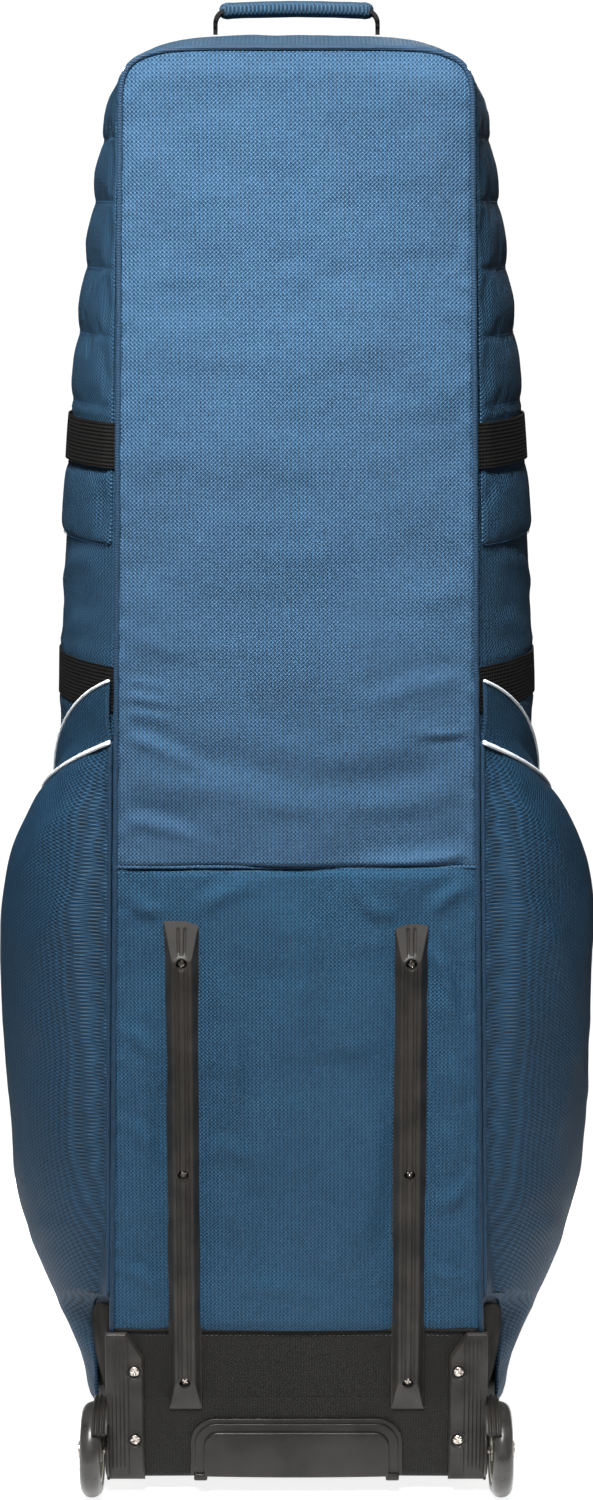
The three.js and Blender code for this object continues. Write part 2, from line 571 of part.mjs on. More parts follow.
// Buckles: the socket is on the strap and the plug on the cover, and it pulls out forwards.
for (const [height, z] of Object.entries(STRAPS)) {
  const inner = skin(BUCKLE.rear, z, strapOffset[height]).x + BUCKLE.clear;
  const outer = inner + BUCKLE.depth;
  const middle = (inner + outer) / 2;
  addPair(`buckle_socket_${height}`, PLASTIC, () =>
    cut(
      block([inner, outer], [BUCKLE.rear, BUCKLE.seam], [z - BUCKLE.half, z + BUCKLE.half]),
      block([middle - 2.6, middle + 2.6], [BUCKLE.seam - 15, BUCKLE.seam + 1], [z - 15.5, z + 18]),
    ),
  );
  addPair(`buckle_plug_${height}`, PLASTIC, () => {
    const rim = HALF.zip(z) + 0.8;
    const tab = [[middle - 1, BUCKLE.front - 4], [middle + 1, BUCKLE.front - 4]];
    tab.push([rim + 2, BUCKLE.tab - 6], [rim + 2, BUCKLE.tab], [rim, BUCKLE.tab], [rim, BUCKLE.tab - 8]);
    return join(
      block([inner, outer], [BUCKLE.seam + 0.7, BUCKLE.front], [z - 20, z + 20]),
      block([middle - 1.8, middle + 1.8], [BUCKLE.seam - 12.5, BUCKLE.seam + 3], [z - 14, z + 14]),
      extrude(shapeOf(tab), STRAP_WIDTH).translate(0, 0, z - STRAP_WIDTH / 2),
    );
  });
}

// The front cover: a deep, hollow panel.
const COVER_US = [0, 0.3, ...steps(0.55, 1.05, 3), 1.3];
const coverTurns = [...COVER_US, PI / 2, ...COVER_US.map((u) => PI - u).reverse()];
function coverPoint(turn, t, inset) {
  if (turn <= PI / 2) return cover(t, turn, inset);
  const p = cover(t, PI - turn, inset);
  return p.setX(-p.x);
}
const coverTs = [...steps(tAt(TRAY_TOP + 1), CORNER_T, 6), ...steps(CORNER_T, 1, 8).slice(1)];
add(
  "front_cover",
  sheet(coverTurns, coverTs, (u, t) => coverPoint(u, t, 0), (u, t) => coverPoint(u, t, CLOTH), {
    u0: true,
    u1: true,
    v0: true,
  }),
  BLUE_CLOTH,
);

// Zip sliders with their hinged pulls, drawn about the slider's middle with x outwards.
const PULL_PIN = { x: 7, z: 2 };
function sliderGeometry(at) {
  const body = block([0, 4], [-4.6, 4.6], [-7, 7]);
  const lugs = [-1, 1].map((s) => block([3, 9.4], s > 0 ? [3.9, 5.2] : [-5.2, -3.9], [-0.6, 4.6]));
  const web = block([2, 4], [-5.2, 5.2], [-0.6, 4.6]);
  const pin = rodY(0.9, PULL_PIN.x, PULL_PIN.z, [-4.5, 4.5], 10);
  return join(body, web, ...lugs, pin).translate(...at);
}
function pullGeometry(at) {
  const eye = rodY(2.4, PULL_PIN.x, PULL_PIN.z, [-3.4, 3.4], 14);
  const tag = join(eye, block([5.8, 8.2], [-3.4, 3.4], [-18, PULL_PIN.z]));
  return cut(tag, rodY(1.35, PULL_PIN.x, PULL_PIN.z, [-10, 10], 12)).translate(...at);
}
for (const [height, z] of Object.entries(SLIDERS)) {
  const at = [HALF.zip(z) + SLIDER_CLEAR, ZIP_Y, z];
  add(`zip_slider_${height}`, sliderGeometry(at), STEEL);
  add(`zip_pull_${height}`, pullGeometry(at), PLASTIC);
}
const pocketZipZ = pipingZ(POCKET_SLIDER.y) - POCKET_SLIDER.below;
const pocketZipOffset = pocketOuter(POCKET_SLIDER.y, pocketZipZ) + POCKET_SLIDER.clear;
const pocketZip = skin(POCKET_SLIDER.y, pocketZipZ, pocketZipOffset);
addPair("pocket_slider", STEEL, () => sliderGeometry(pocketZip.toArray()));
addPair("pocket_pull", PLASTIC, () => pullGeometry(pocketZip.toArray()));

// Carry handle on the top: a webbing loop with rounded ends, and a padded grip.
const { half, pivotZ, rise, thick, width, gripHalf } = HANDLE;
const across = [HANDLE.y - width / 2, HANDLE.y + width / 2];
const crown = pivotZ + rise;
const arch = [[half, pivotZ], [half, crown - 6], [half - 4, crown]];
arch.push([4 - half, crown], [-half, crown - 6], [-half, pivotZ], [thick - half, pivotZ]);
arch.push([thick - half, crown - 7], [5.5 - half, crown - thick], [half - 5.5, crown - thick]);
arch.push([half - thick, crown - 7], [half - thick, pivotZ]);
const legs = [[half - thick, half], [-half, thick - half]];
const ends = legs.map((xs) => rodX(width / 2, xs, HANDLE.y, pivotZ));
add("handle_strap", join(extrudeY(shapeOf(arch), across), ...ends), WEBBING_BLACK);
const gripSection = new THREE.Shape();
gripSection.absellipse(HANDLE.y, crown - thick / 2, width / 2 + 4.5, 6.8, 0, 2 * PI);
const gripHole = block([-99, 99], [across[0] - GAP, across[1] + GAP], [crown - thick - GAP, crown + GAP]);
add("handle_grip", cut(extrudeX(gripSection, [-gripHalf, gripHalf], 5), gripHole), BLUE_CLOTH);

// Put the middle of the footprint at the origin.
const bounds = new THREE.Box3().setFromObject(group);
const shift = -(bounds.min.y + bounds.max.y) / 2;
group.children.forEach((mesh) => mesh.geometry.translate(0, shift, 0));

export default group;
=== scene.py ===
"""A soft-sided golf travel case, standing upright with its back to the camera.

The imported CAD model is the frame. This script gives its soft parts their cloth, padding, seams
and folds, and its moulded parts their edges, ribs and textures. Shapes are worked out in
millimetres, with y = 0 at the back panel's face, as the CAD part is drawn, and each mesh is
written in metres in the frame's own place.
"""
import itertools
import math

import bmesh
import bpy
import numpy as np
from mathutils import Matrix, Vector


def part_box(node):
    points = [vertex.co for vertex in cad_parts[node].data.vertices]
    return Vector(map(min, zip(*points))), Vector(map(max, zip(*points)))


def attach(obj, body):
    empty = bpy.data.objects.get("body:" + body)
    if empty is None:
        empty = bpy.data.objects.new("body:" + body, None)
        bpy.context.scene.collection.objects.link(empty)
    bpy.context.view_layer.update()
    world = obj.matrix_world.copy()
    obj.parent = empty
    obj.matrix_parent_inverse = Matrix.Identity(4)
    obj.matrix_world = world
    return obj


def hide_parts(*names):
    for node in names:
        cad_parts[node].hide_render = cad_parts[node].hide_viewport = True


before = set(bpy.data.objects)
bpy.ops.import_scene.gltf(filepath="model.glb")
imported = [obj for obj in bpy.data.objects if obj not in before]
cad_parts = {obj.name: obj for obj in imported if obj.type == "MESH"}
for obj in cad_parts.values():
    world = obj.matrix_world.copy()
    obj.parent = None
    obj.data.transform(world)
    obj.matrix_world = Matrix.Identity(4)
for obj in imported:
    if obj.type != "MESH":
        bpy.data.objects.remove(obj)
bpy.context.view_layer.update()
BACK_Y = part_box("back_panel_upper")[0].y * 1000  # the back panel's face, in the frame
PI = math.pi
SIDES = {"left": -1, "right": 1}

# ---- Driving dimensions, as in the CAD part, in millimetres ---------------------------------
BASE_Z, TRAY_TOP, TRAY_BACK_TOP = 15, 98.5, 157
TRAY_FLOOR, TRAY_CENTRE = 19.0, (0, 165)
SEAM_Z, CORNER_Z, CORNER_T = 581, 1190, 0.7
SQUARE = {"back": 6, "mid": 4, "zip": 4}
TOPS = {"back": 1262, "mid": 1277, "zip": 1268}
MID_Y, ZIP_Y, ZIP_GAP, COVER_DEPTH = 110, 215, 3, 108
STRAIGHT_HALF = {"back": (167, 0.0196), "zip": (192, 0.022)}  # half-width at z = 0, and taper
WIDEST, WIDEST_Z = 210, 620  # halfway round, where the sides are fullest
FALL_ABOVE, FALL_BELOW = 1.5e-4, 8e-5  # how fast they narrow from there
TOP_SPLIT = CORNER_T + (1 - CORNER_T) * 0.42  # where the side's cloth meets the top band
QUILT_SEAMS = [857, 918, 972, 1030, 1085, 1140, 1194]
QUILT_PUFF = 4.6  # how far the pads may swell
STRAPS = {"upper": 941, "lower": 735}
STRAP_LIFT = {"upper": 4.2, "lower": 1.4}  # the upper strap lies on the quilted pad
STRAP_WIDTH, STRAP_THICKNESS = 38, 1.6
PANEL_THICKNESS, WALL_THICKNESS = 4.6, 3.6
COVER_PIPING_TURN = 0.62  # how far round the cover its pipings run
POUCH = {"half": 128, "bottom": 150, "height": 400, "narrowing": 0.04, "zip": 522}
WHEEL = {"radius": 42, "half": 10, "x": 183, "y": 2, "z": 42}
FENDER_ARC, FENDER_WIDTH = (0.72, 2.42), 14
FENDER_RIBS = [0.28, 0.58, 0.88]  # shares of its width
FOOT_X, FOOT_Y = 112, 282
RAIL = {"x": 99, "bottom": 83, "top": 533, "foot": 14.5, "crown": 7.5, "height": 13, "ramp": 33}
RAIL_SCREWS, RAIL_GROOVES, RAIL_SLOT = [112, 306, 497], [2.6, 5.6], 2.7
RAIL_EDGE = 2.2  # how high the rail stands at its sides
GUARD = {"inner": 136, "outer": 169.6, "top": 156, "slant": (24, 15), "groove": 150.4, "screw_x": 144.5}
GUARD_SCREWS, GUARD_RIBS = [54, 119], [153, 156.5, 160, 163.5]
WING = {"z": 139, "half": 39, "reach": 58}
POCKET_BOTTOM, POCKET_FRONT, POCKET_BULGE = 60, 203, 57
HANDLE = {"y": 105, "half": 70, "pivot": 1285, "crown": 1299.8, "grip": 62}
CROWN_RISE = 1.6  # how much higher the grip's middle is than its ends
LOOP = {"half": 11.5, "inset": 1.7, "bend": 10}  # the handle's webbing, to the middle of its thickness
BUCKLE_REAR = 178  # where the straps run into their buckles

# ---- Camera -----------------------------------------------------------------------------
CAMERA_DISTANCE = 2.2425  # from the back panel
CAMERA_HEIGHT = 1.131
CAMERA_PITCH = math.radians(11.3)
CAMERA_LENS = 64.5
FLOOR_RADIUS = 0.75  # small, as the white backdrop goes on behind it
FILL_LIGHT = 0.06  # from all round
BACKDROP_LIGHT = 1.05  # what the camera sees behind the floor


# ---- Numbers ----------------------------------------------------------------------------
def smooth(low, high, x):
    """0 below low, 1 above high and an S-curve between them."""
    t = np.clip((np.asarray(x, float) - low) / (high - low), 0, 1)
    return t * t * (3 - 2 * t)


def bump(x, centre, width):
    """A rounded bump that is 1 at its centre."""
    return np.exp(-(((np.asarray(x, float) - centre) / width) ** 2))


def lattice(i, j, k, seed):
    """A repeatable value from 0 to 1 for each cell corner."""
    wave = np.sin(i * 127.1 + j * 311.7 + k * 74.7 + seed * 53.3) * 43758.5453
    return wave - np.floor(wave)


def noise(points, scale, seed=0):
    """Smooth noise from -1 to 1 at each point, with features about scale apart."""
    p = np.asarray(points, float) / np.asarray(scale, float)
    cell = np.floor(p)
    f = p - cell
    f = f * f * (3 - 2 * f)
    total = 0
    for di in (0, 1):
        for dj in (0, 1):
            for dk in (0, 1):
                corner = lattice(cell[..., 0] + di, cell[..., 1] + dj, cell[..., 2] + dk, seed)
                weight = (
                    (f[..., 0] if di else 1 - f[..., 0])
                    * (f[..., 1] if dj else 1 - f[..., 1])
                    * (f[..., 2] if dk else 1 - f[..., 2])
                )
                total = total + corner * weight
    return total * 2 - 1


def rumple(points, scale, seed=0):
    """Two octaves of noise."""
    scale = np.asarray(scale, float)
    return noise(points, scale, seed) * 0.68 + noise(points, scale * 0.45, seed + 7) * 0.32


def xyz(x, y, z):
    """Points from their coordinates, any of which may be one number for all of them."""
    return np.stack(np.broadcast_arrays(x, y, z), -1)


def rounded_reach(c, s, power):
    """How far a squared-off circle reaches along the direction (c, s)."""
    return (np.abs(c) ** power + np.abs(s) ** power) ** (-1 / power)


def unit(vectors):
    """Each vector along the last axis, brought to length one."""
    return vectors / np.linalg.norm(vectors, axis=-1, keepdims=True)


def spread(rows, count):
    """Count rows taken evenly between the first and the last, by interpolation."""
    at = np.linspace(0, len(rows) - 1, count)
    return np.stack([np.interp(at, np.arange(len(rows)), rows[:, k]) for k in range(3)], -1)


def crease(a, b, start, end, width, depth):
    """A fold of that depth along the line from start to end, in a plane with coordinates a, b."""
    (a0, b0), (a1, b1) = start, end
    length = math.hypot(a1 - a0, b1 - b0)
    ua, ub = (a1 - a0) / length, (b1 - b0) / length
    along = (a - a0) * ua + (b - b0) * ub
    off = -(a - a0) * ub + (b - b0) * ua
    off = off - width * 0.5 * np.sin(along / length * PI * 1.3)
    ends = smooth(-0.12, 0.3, along / length) * (1 - smooth(0.55, 1.1, along / length))
    ridge = bump(off, 0, width) - 0.45 * bump(off, 1.7 * width, width)
    return depth * ends * ridge


def folds(a, b, creases):
    """The sum of creases, each given by its start, end, width and depth."""
    return sum(crease(a, b, *one) for one in creases)


# ---- The shape of the case --------------------------------------------------------------
def half_width(level, z):
    """Half the case's width at the back panel, halfway round or at the zip."""
    z = np.maximum(z, TRAY_TOP)
    if level in STRAIGHT_HALF:
        at_floor, taper = STRAIGHT_HALF[level]
        return at_floor - taper * z
    fall = np.where(z > WIDEST_Z, FALL_ABOVE, FALL_BELOW)
    return WIDEST - fall * (z - WIDEST_Z) ** 2


def t_at(z):
    """The outline's parameter at a height on the straight side."""
    return CORNER_T * (np.asarray(z, float) - TRAY_TOP) / (CORNER_Z - TRAY_TOP)


def outline(level, t):
    """x and z up the right side to the shoulder, then round to the top's middle at 1."""
    t = np.asarray(t, float)
    straight = TRAY_TOP + (CORNER_Z - TRAY_TOP) * t / CORNER_T
    angle = np.clip((t - CORNER_T) / (1 - CORNER_T), 0, 2) * PI / 2
    c, s = np.maximum(0, np.cos(angle)), np.sin(angle)
    reach = rounded_reach(c, s, SQUARE[level])
    round_z = CORNER_Z + (TOPS[level] - CORNER_Z) * reach * s
    z = np.where(t <= CORNER_T, straight, round_z)
    x = half_width(level, z) * np.where(t <= CORNER_T, 1, reach * c)
    return x, z


def t_rows(low_z, straight_count, end, round_count):
    """Rows from that height up the straight side, then round the corner to the end."""
    straight = np.linspace(float(t_at(low_z)), CORNER_T, straight_count)
    return np.concatenate([straight, np.linspace(CORNER_T, end, round_count)[1:]])


def wall(t, y):
    """Points of the stuffed wall on the right, between the back panel and the zip."""
    t, y = np.broadcast_arrays(np.asarray(t, float), np.asarray(y, float))
    weights = {
        "back": (y - MID_Y) * (y - ZIP_Y) / (MID_Y * ZIP_Y),
        "mid": y * (ZIP_Y - y) / (MID_Y * (ZIP_Y - MID_Y)),
        "zip": y * (y - MID_Y) / (ZIP_Y * (ZIP_Y - MID_Y)),
    }
    x, z = 0, 0
    for level, weight in weights.items():
        lx, lz = outline(level, t)
        x = x + weight * lx
        z = z + weight * lz
    return xyz(x, y, z)


def wall_normal(t, y):
    """The wall's outward direction."""
    t, y = np.broadcast_arrays(np.asarray(t, float), np.asarray(y, float))
    along_t = wall(t + 1e-3, y) - wall(t - 1e-3, y)
    along_y = wall(t, y + 1) - wall(t, y - 1)
    return unit(np.cross(along_y, along_t))


def off_wall(t, y, offset):
    """Points of the wall moved out by that much."""
    return wall(t, y) + wall_normal(t, y) * np.asarray(offset, float)[..., None]


def cover_point(turn, t, inset=0.0):
    """A point of the front cover. turn is 0 at the right of the zip and pi at its left."""
    turn, t = np.broadcast_arrays(np.asarray(turn, float), np.asarray(t, float))
    side = np.where(turn > PI / 2, -1, 1)
    folded = np.where(turn > PI / 2, PI - turn, turn)
    c, s = np.maximum(0, np.cos(folded)), np.sin(folded)
    reach = rounded_reach(c, s, SQUARE["zip"])
    x, z = outline("zip", t)
    share = reach * c
    rise = np.maximum(0, z - CORNER_Z)
    top = np.where(z > CORNER_Z, CORNER_Z + rise * share, z)
    drop = inset * rise * share / (TOPS["zip"] - CORNER_Z)
    narrow = np.maximum(0, x - inset) * share
    depth = ZIP_Y + ZIP_GAP + (COVER_DEPTH - inset) * reach * s
    return np.stack([side * narrow, depth, top - drop], -1)


# ---- Meshes -----------------------------------------------------------------------------
def facing_out(points, faces):
    """The faces of a closed mesh, all turned over if they point inwards."""
    p = np.asarray(points, float)
    corners = faces
    if not isinstance(faces, np.ndarray):
        corners = np.array([(f[0], f[i], f[i + 1]) for f in faces for i in range(1, len(f) - 1)])
    volume = 0.0
    for k in range(1, corners.shape[1] - 1):
        a, b, c = p[corners[:, 0]], p[corners[:, k]], p[corners[:, k + 1]]
        volume += float(np.sum(a * np.cross(b, c)))
    return faces if volume >= 0 else [f[::-1] for f in faces]


def make_object(name, points, faces, materials, face_materials=None, smooth_faces=True):
    """A mesh object from points in millimetres, with y counted from the back panel's face."""
    p = np.asarray(points, float).reshape(-1, 3).copy()
    p[:, 1] += BACK_Y
    mesh = bpy.data.meshes.new(name)
    mesh.from_pydata((p / 1000).tolist(), [], [list(map(int, f)) for f in faces])
    mesh.polygons.foreach_set("use_smooth", [smooth_faces] * len(mesh.polygons))
    for material in materials if isinstance(materials, (list, tuple)) else [materials]:
        mesh.materials.append(material)
    if face_materials is not None:
        mesh.polygons.foreach_set("material_index", list(map(int, face_materials)))
    mesh.validate()
    mesh.update()
    obj = bpy.data.objects.new(name, mesh)
    bpy.context.scene.collection.objects.link(obj)
    return obj


def grid_faces(n, m, base=0, flip=False, wrap=False):
    """Quads over a grid of n by m points."""
    cols = n if wrap else n - 1
    i, j = np.meshgrid(np.arange(cols), np.arange(m - 1), indexing="ij")
    i2 = (i + 1) % n
    quad = np.stack([i * m + j, i2 * m + j, i2 * m + j + 1, i * m + j + 1], -1).reshape(-1, 4) + base
    return quad[:, ::-1] if flip else quad


def ring_faces(rings, count, closed_ends=True):
    """The faces between rings of count points each, and over both ends."""
    faces = []
    for i in range(rings - 1):
        for j in range(count):
            k = (j + 1) % count
            faces.append([i * count + j, i * count + k, (i + 1) * count + k, (i + 1) * count + j])
    if closed_ends:
        faces.append(list(range(count))[::-1])
        faces.append(list(range((rings - 1) * count, rings * count)))
    return faces


def sheet(name, outer, inner, material, lining=None, wrap=False, top_rim=True):
    """A closed sheet between two grids of points of the same size.

    Without a top rim the last rows stay open, for a grid that meets itself there.
    """
    n, m = outer.shape[:2]
    p = np.concatenate([outer.reshape(-1, 3), inner.reshape(-1, 3)])
    base = n * m
    faces = [grid_faces(n, m, 0, wrap=wrap), grid_faces(n, m, base, flip=True, wrap=wrap)]
    rim = []
    for i in range(n if wrap else n - 1):
        k = (i + 1) % n
        rim.append([k * m, i * m, base + i * m, base + k * m])
        if top_rim:
            rim.append([i * m + m - 1, k * m + m - 1, base + k * m + m - 1, base + i * m + m - 1])
    if not wrap:
        last = (n - 1) * m
        for j in range(m - 1):
            rim.append([j, j + 1, base + j + 1, base + j])
            rim.append([last + j + 1, last + j, base + last + j, base + last + j + 1])
    faces = np.concatenate(faces + [np.array(rim)])
    faces = facing_out(p, faces)
    inside = np.zeros(len(faces), int)
    if lining:
        one_face = (n if wrap else n - 1) * (m - 1)
        inside[one_face : 2 * one_face] = 1
    return make_object(name, p, faces, [material, lining] if lining else material, inside)


def mirror_x(p, side):
    """Points for the right side, or their mirror image if side is -1."""
    return p * np.array([side, 1, 1])


def side_sheet(name, outer, inner, side, material, lining=None):
    """A sheet given for the right side, on that side or mirrored to the left."""
    return sheet(name, mirror_x(outer, side), mirror_x(inner, side), material, lining)


def tube(name, path, radius, material, sides=8):
    """A round cord along a path of points."""
    path = np.asarray(path, float)
    n = len(path)
    ahead = unit(np.gradient(path, axis=0))
    up = np.array([0.0, 0.0, 1.0]) if abs(ahead[0][2]) < 0.9 else np.array([0.0, 1.0, 0.0])
    rings = []
    radius = np.broadcast_to(np.asarray(radius, float), (n,))
    for i in range(n):
        across = unit(np.cross(ahead[i], up))
        up = np.cross(across, ahead[i])
        turn = np.arange(sides) * 2 * PI / sides
        ring = path[i] + radius[i] * (np.cos(turn)[:, None] * across + np.sin(turn)[:, None] * up)
        rings.append(ring)
    p = np.concatenate(rings)
    return make_object(name, p, facing_out(p, ring_faces(n, sides)), material)


def resample(path, pitch):
    """Points about that pitch apart along a path."""
    path = np.asarray(path, float)
    lengths = np.concatenate([[0], np.cumsum(np.linalg.norm(np.diff(path, axis=0), axis=1))])
    count = max(2, int(round(lengths[-1] / pitch)) + 1)
    at = np.linspace(0, lengths[-1], count)
    return np.stack([np.interp(at, lengths, path[:, k]) for k in range(3)], -1)


def stitches(name, path, material, normals, pitch=4.2, length=2.9, radius=0.42):
    """A row of short threads along a path: each is a long double pyramid lying on the cloth."""
    path = np.asarray(path, float)
    spots = resample(path, pitch)
    ahead = unit(np.gradient(spots, axis=0))
    normals = np.broadcast_to(np.asarray(normals, float), path.shape)
    normal = unit(spread(normals, len(spots)))
    across = np.cross(ahead, normal)
    points, faces = [], []
    for c, a, b, n in zip(spots, ahead, across, normal):
        base = len(points)
        points += [c - a * length / 2, c + a * length / 2]
        points += [c + b * radius, c + n * radius, c - b * radius, c - n * radius]
        for i in range(4):
            j = 2 + (i + 1) % 4
            faces += [[base, base + 2 + i, base + j], [base + 1, base + j, base + 2 + i]]
    return make_object(name, points, faces, material, smooth_faces=False)


def lathe_x(name, profile, centre, material, segments=64):
    """A ring turned about the X axis. profile is a closed list of (radius, x)."""
    prof = np.asarray(profile, float)
    turn = np.arange(segments) * 2 * PI / segments
    p = np.zeros((segments, len(prof), 3))
    p[..., 0] = centre[0] + prof[None, :, 1]
    p[..., 1] = centre[1] + prof[None, :, 0] * np.cos(turn)[:, None]
    p[..., 2] = centre[2] + prof[None, :, 0] * np.sin(turn)[:, None]
    m = len(prof)
    faces = ring_faces(segments, m, closed_ends=False)
    last = (segments - 1) * m
    faces += [[last + j, last + (j + 1) % m, (j + 1) % m, j] for j in range(m)]
    p = p.reshape(-1, 3)
    return make_object(name, p, facing_out(p, faces), material)


def bevel(obj, width, segments=3, angle=40):
    """Rounds the sharp edges of a mesh, for good."""
    modifier = obj.modifiers.new("bevel", "BEVEL")
    modifier.width = width / 1000
    modifier.segments = segments
    modifier.limit_method = "ANGLE"
    modifier.angle_limit = math.radians(angle)
    modifier.harden_normals = True
    apply_modifiers(obj)
    return obj


def apply_modifiers(obj):
    """Replaces the mesh by what its modifiers make of it."""
    graph = bpy.context.evaluated_depsgraph_get()
    done = bpy.data.meshes.new_from_object(obj.evaluated_get(graph))
    obj.modifiers.clear()
    old = obj.data
    obj.data = done
    bpy.data.meshes.remove(old)


# The faces of a box whose corners are listed by x, then y, then z.
BOX_FACES = [[0, 1, 3, 2], [4, 6, 7, 5], [0, 4, 5, 1], [2, 3, 7, 6], [0, 2, 6, 4], [1, 5, 7, 3]]


def box_object(name, low, high, material, round_by=0.0):
    """A box between two corners."""
    (x0, y0, z0), (x1, y1, z1) = low, high
    p = [(x, y, z) for x in (x0, x1) for y in (y0, y1) for z in (z0, z1)]
    obj = make_object(name, p, BOX_FACES, material)
    return bevel(obj, round_by) if round_by else obj


def extrude_y(name, outline_xz, y0, y1, material, round_by=0.0):
    """A plate with that outline in X and Z, from y0 to y1."""
    ring = [tuple(q) for q in outline_xz]
    n = len(ring)
    p = [(x, y0, z) for x, z in ring] + [(x, y1, z) for x, z in ring]
    faces = [list(range(n)), list(range(n, 2 * n))[::-1]]
    faces += [[i, n + i, n + (i + 1) % n, (i + 1) % n] for i in range(n)]
    obj = make_object(name, p, facing_out(p, faces), material)
    return bevel(obj, round_by) if round_by else obj


def merge(name, objects):
    """Joins mesh objects into one, which keeps their materials."""
    graph_points, faces, slots, materials = [], [], [], []
    count = 0
    for o in objects:
        co = np.zeros(len(o.data.vertices) * 3)
        o.data.vertices.foreach_get("co", co)
        graph_points.append(co.reshape(-1, 3))
        index = []
        for material in o.data.materials:
            if material not in materials:
                materials.append(material)
            index.append(materials.index(material))
        for polygon in o.data.polygons:
            faces.append([v + count for v in polygon.vertices])
            slots.append(index[polygon.material_index])
        count += len(o.data.vertices)
    p = np.concatenate(graph_points) * 1000
    p[:, 1] -= BACK_Y
    for o in objects:
        old = o.data
        bpy.data.objects.remove(o)
        bpy.data.meshes.remove(old)
    return make_object(name, p, faces, materials, slots)


def sharpen(obj, degrees=35):
    """Keeps edges sharper than that crisp under smooth shading."""
    limit = math.radians(degrees)
    work = bmesh.new()
    work.from_mesh(obj.data)
    for edge in work.edges:
        if len(edge.link_faces) == 2 and edge.calc_face_angle(0) > limit:
            edge.smooth = False
    work.to_mesh(obj.data)
    work.free()
    return obj


# ---- Materials --------------------------------------------------------------------------
def linear(hex_colour):
    """An sRGB colour written as 0xRRGGBB, as linear values with alpha."""
    values = [((hex_colour >> shift) & 255) / 255 for shift in (16, 8, 0)]
    return [v / 12.92 if v <= 0.04045 else ((v + 0.055) / 1.055) ** 2.4 for v in values] + [1.0]


class Graph:
    """A material's node graph. A value may be a number, a colour or another node's output."""

    def __init__(self, name, roughness, metallic=0.0, sheen=0.0, specular=0.5, coat=0.0):
        self.material = bpy.data.materials.new(name)
        self.material.use_nodes = True
        self.tree = self.material.node_tree
        self.shader = next(n for n in self.tree.nodes if n.type == "BSDF_PRINCIPLED")
        self.shader.inputs["Roughness"].default_value = roughness
        self.shader.inputs["Metallic"].default_value = metallic
        self.shader.inputs["Sheen Weight"].default_value = sheen
        self.shader.inputs["Specular IOR Level"].default_value = specular
        self.shader.inputs["Coat Weight"].default_value = coat
        where = self.tree.nodes.new("ShaderNodeTexCoord")
        self.place = where.outputs["Object"]
        split = self.tree.nodes.new("ShaderNodeSeparateXYZ")
        self.tree.links.new(self.place, split.inputs[0])
        self.axes = {"x": split.outputs[0], "y": split.outputs[1], "z": split.outputs[2]}

    def put(self, value, socket):
        """Links another node's output, or sets a plain value."""
        if isinstance(value, bpy.types.NodeSocket):
            self.tree.links.new(value, socket)
        else:
            socket.default_value = value

    def math(self, operation, a, b=0.0):
        node = self.tree.nodes.new("ShaderNodeMath")
        node.operation = operation
        self.put(a, node.inputs[0])
        self.put(b, node.inputs[1])
        return node.outputs[0]

    def wave(self, axis, pitch, phase=0.0):
        """A sine along an axis or a value, with that pitch in millimetres."""
        value = self.axes[axis] if isinstance(axis, str) else axis
        turns = self.math("MULTIPLY", value, 2 * PI * 1000 / pitch)
        return self.math("SINE", self.math("ADD", turns, phase))

    def noise(self, size, detail=3.0, stretch=(1, 1, 1)):
        """Noise from about 0 to 1 with features of that size in millimetres."""
        mapping = self.tree.nodes.new("ShaderNodeMapping")
        self.tree.links.new(self.place, mapping.inputs["Vector"])
        mapping.inputs["Scale"].default_value = stretch
        node = self.tree.nodes.new("ShaderNodeTexNoise")
        self.tree.links.new(mapping.outputs[0], node.inputs["Vector"])
        node.inputs["Scale"].default_value = 1000 / size
        node.inputs["Detail"].default_value = detail
        return node.outputs[0]

    def span(self, value, low, high, to_low=0.0, to_high=1.0):
        """Maps low..high on to to_low..to_high."""
        node = self.tree.nodes.new("ShaderNodeMapRange")
        self.put(value, node.inputs[0])
        for index, number in enumerate((low, high, to_low, to_high), 1):
            node.inputs[index].default_value = number
        return node.outputs[0]

    def mix(self, share, a, b):
        """Colour a where share is 0, and b where it is 1."""
        node = self.tree.nodes.new("ShaderNodeMix")
        node.data_type = "RGBA"
        self.put(share, node.inputs[0])
        self.put(a, node.inputs[6])
        self.put(b, node.inputs[7])
        return node.outputs[2]

    def colour(self, value):
        self.put(value, self.shader.inputs["Base Color"])

    def rough(self, value):
        self.put(value, self.shader.inputs["Roughness"])

    def bump(self, height, depth, strength=1.0):
        """Gives the surface that height, where 1 stands for depth in millimetres."""
        node = self.tree.nodes.new("ShaderNodeBump")
        node.inputs["Strength"].default_value = strength
        node.inputs["Distance"].default_value = depth / 1000
        self.put(height, node.inputs["Height"])
        self.tree.links.new(node.outputs[0], self.shader.inputs["Normal"])


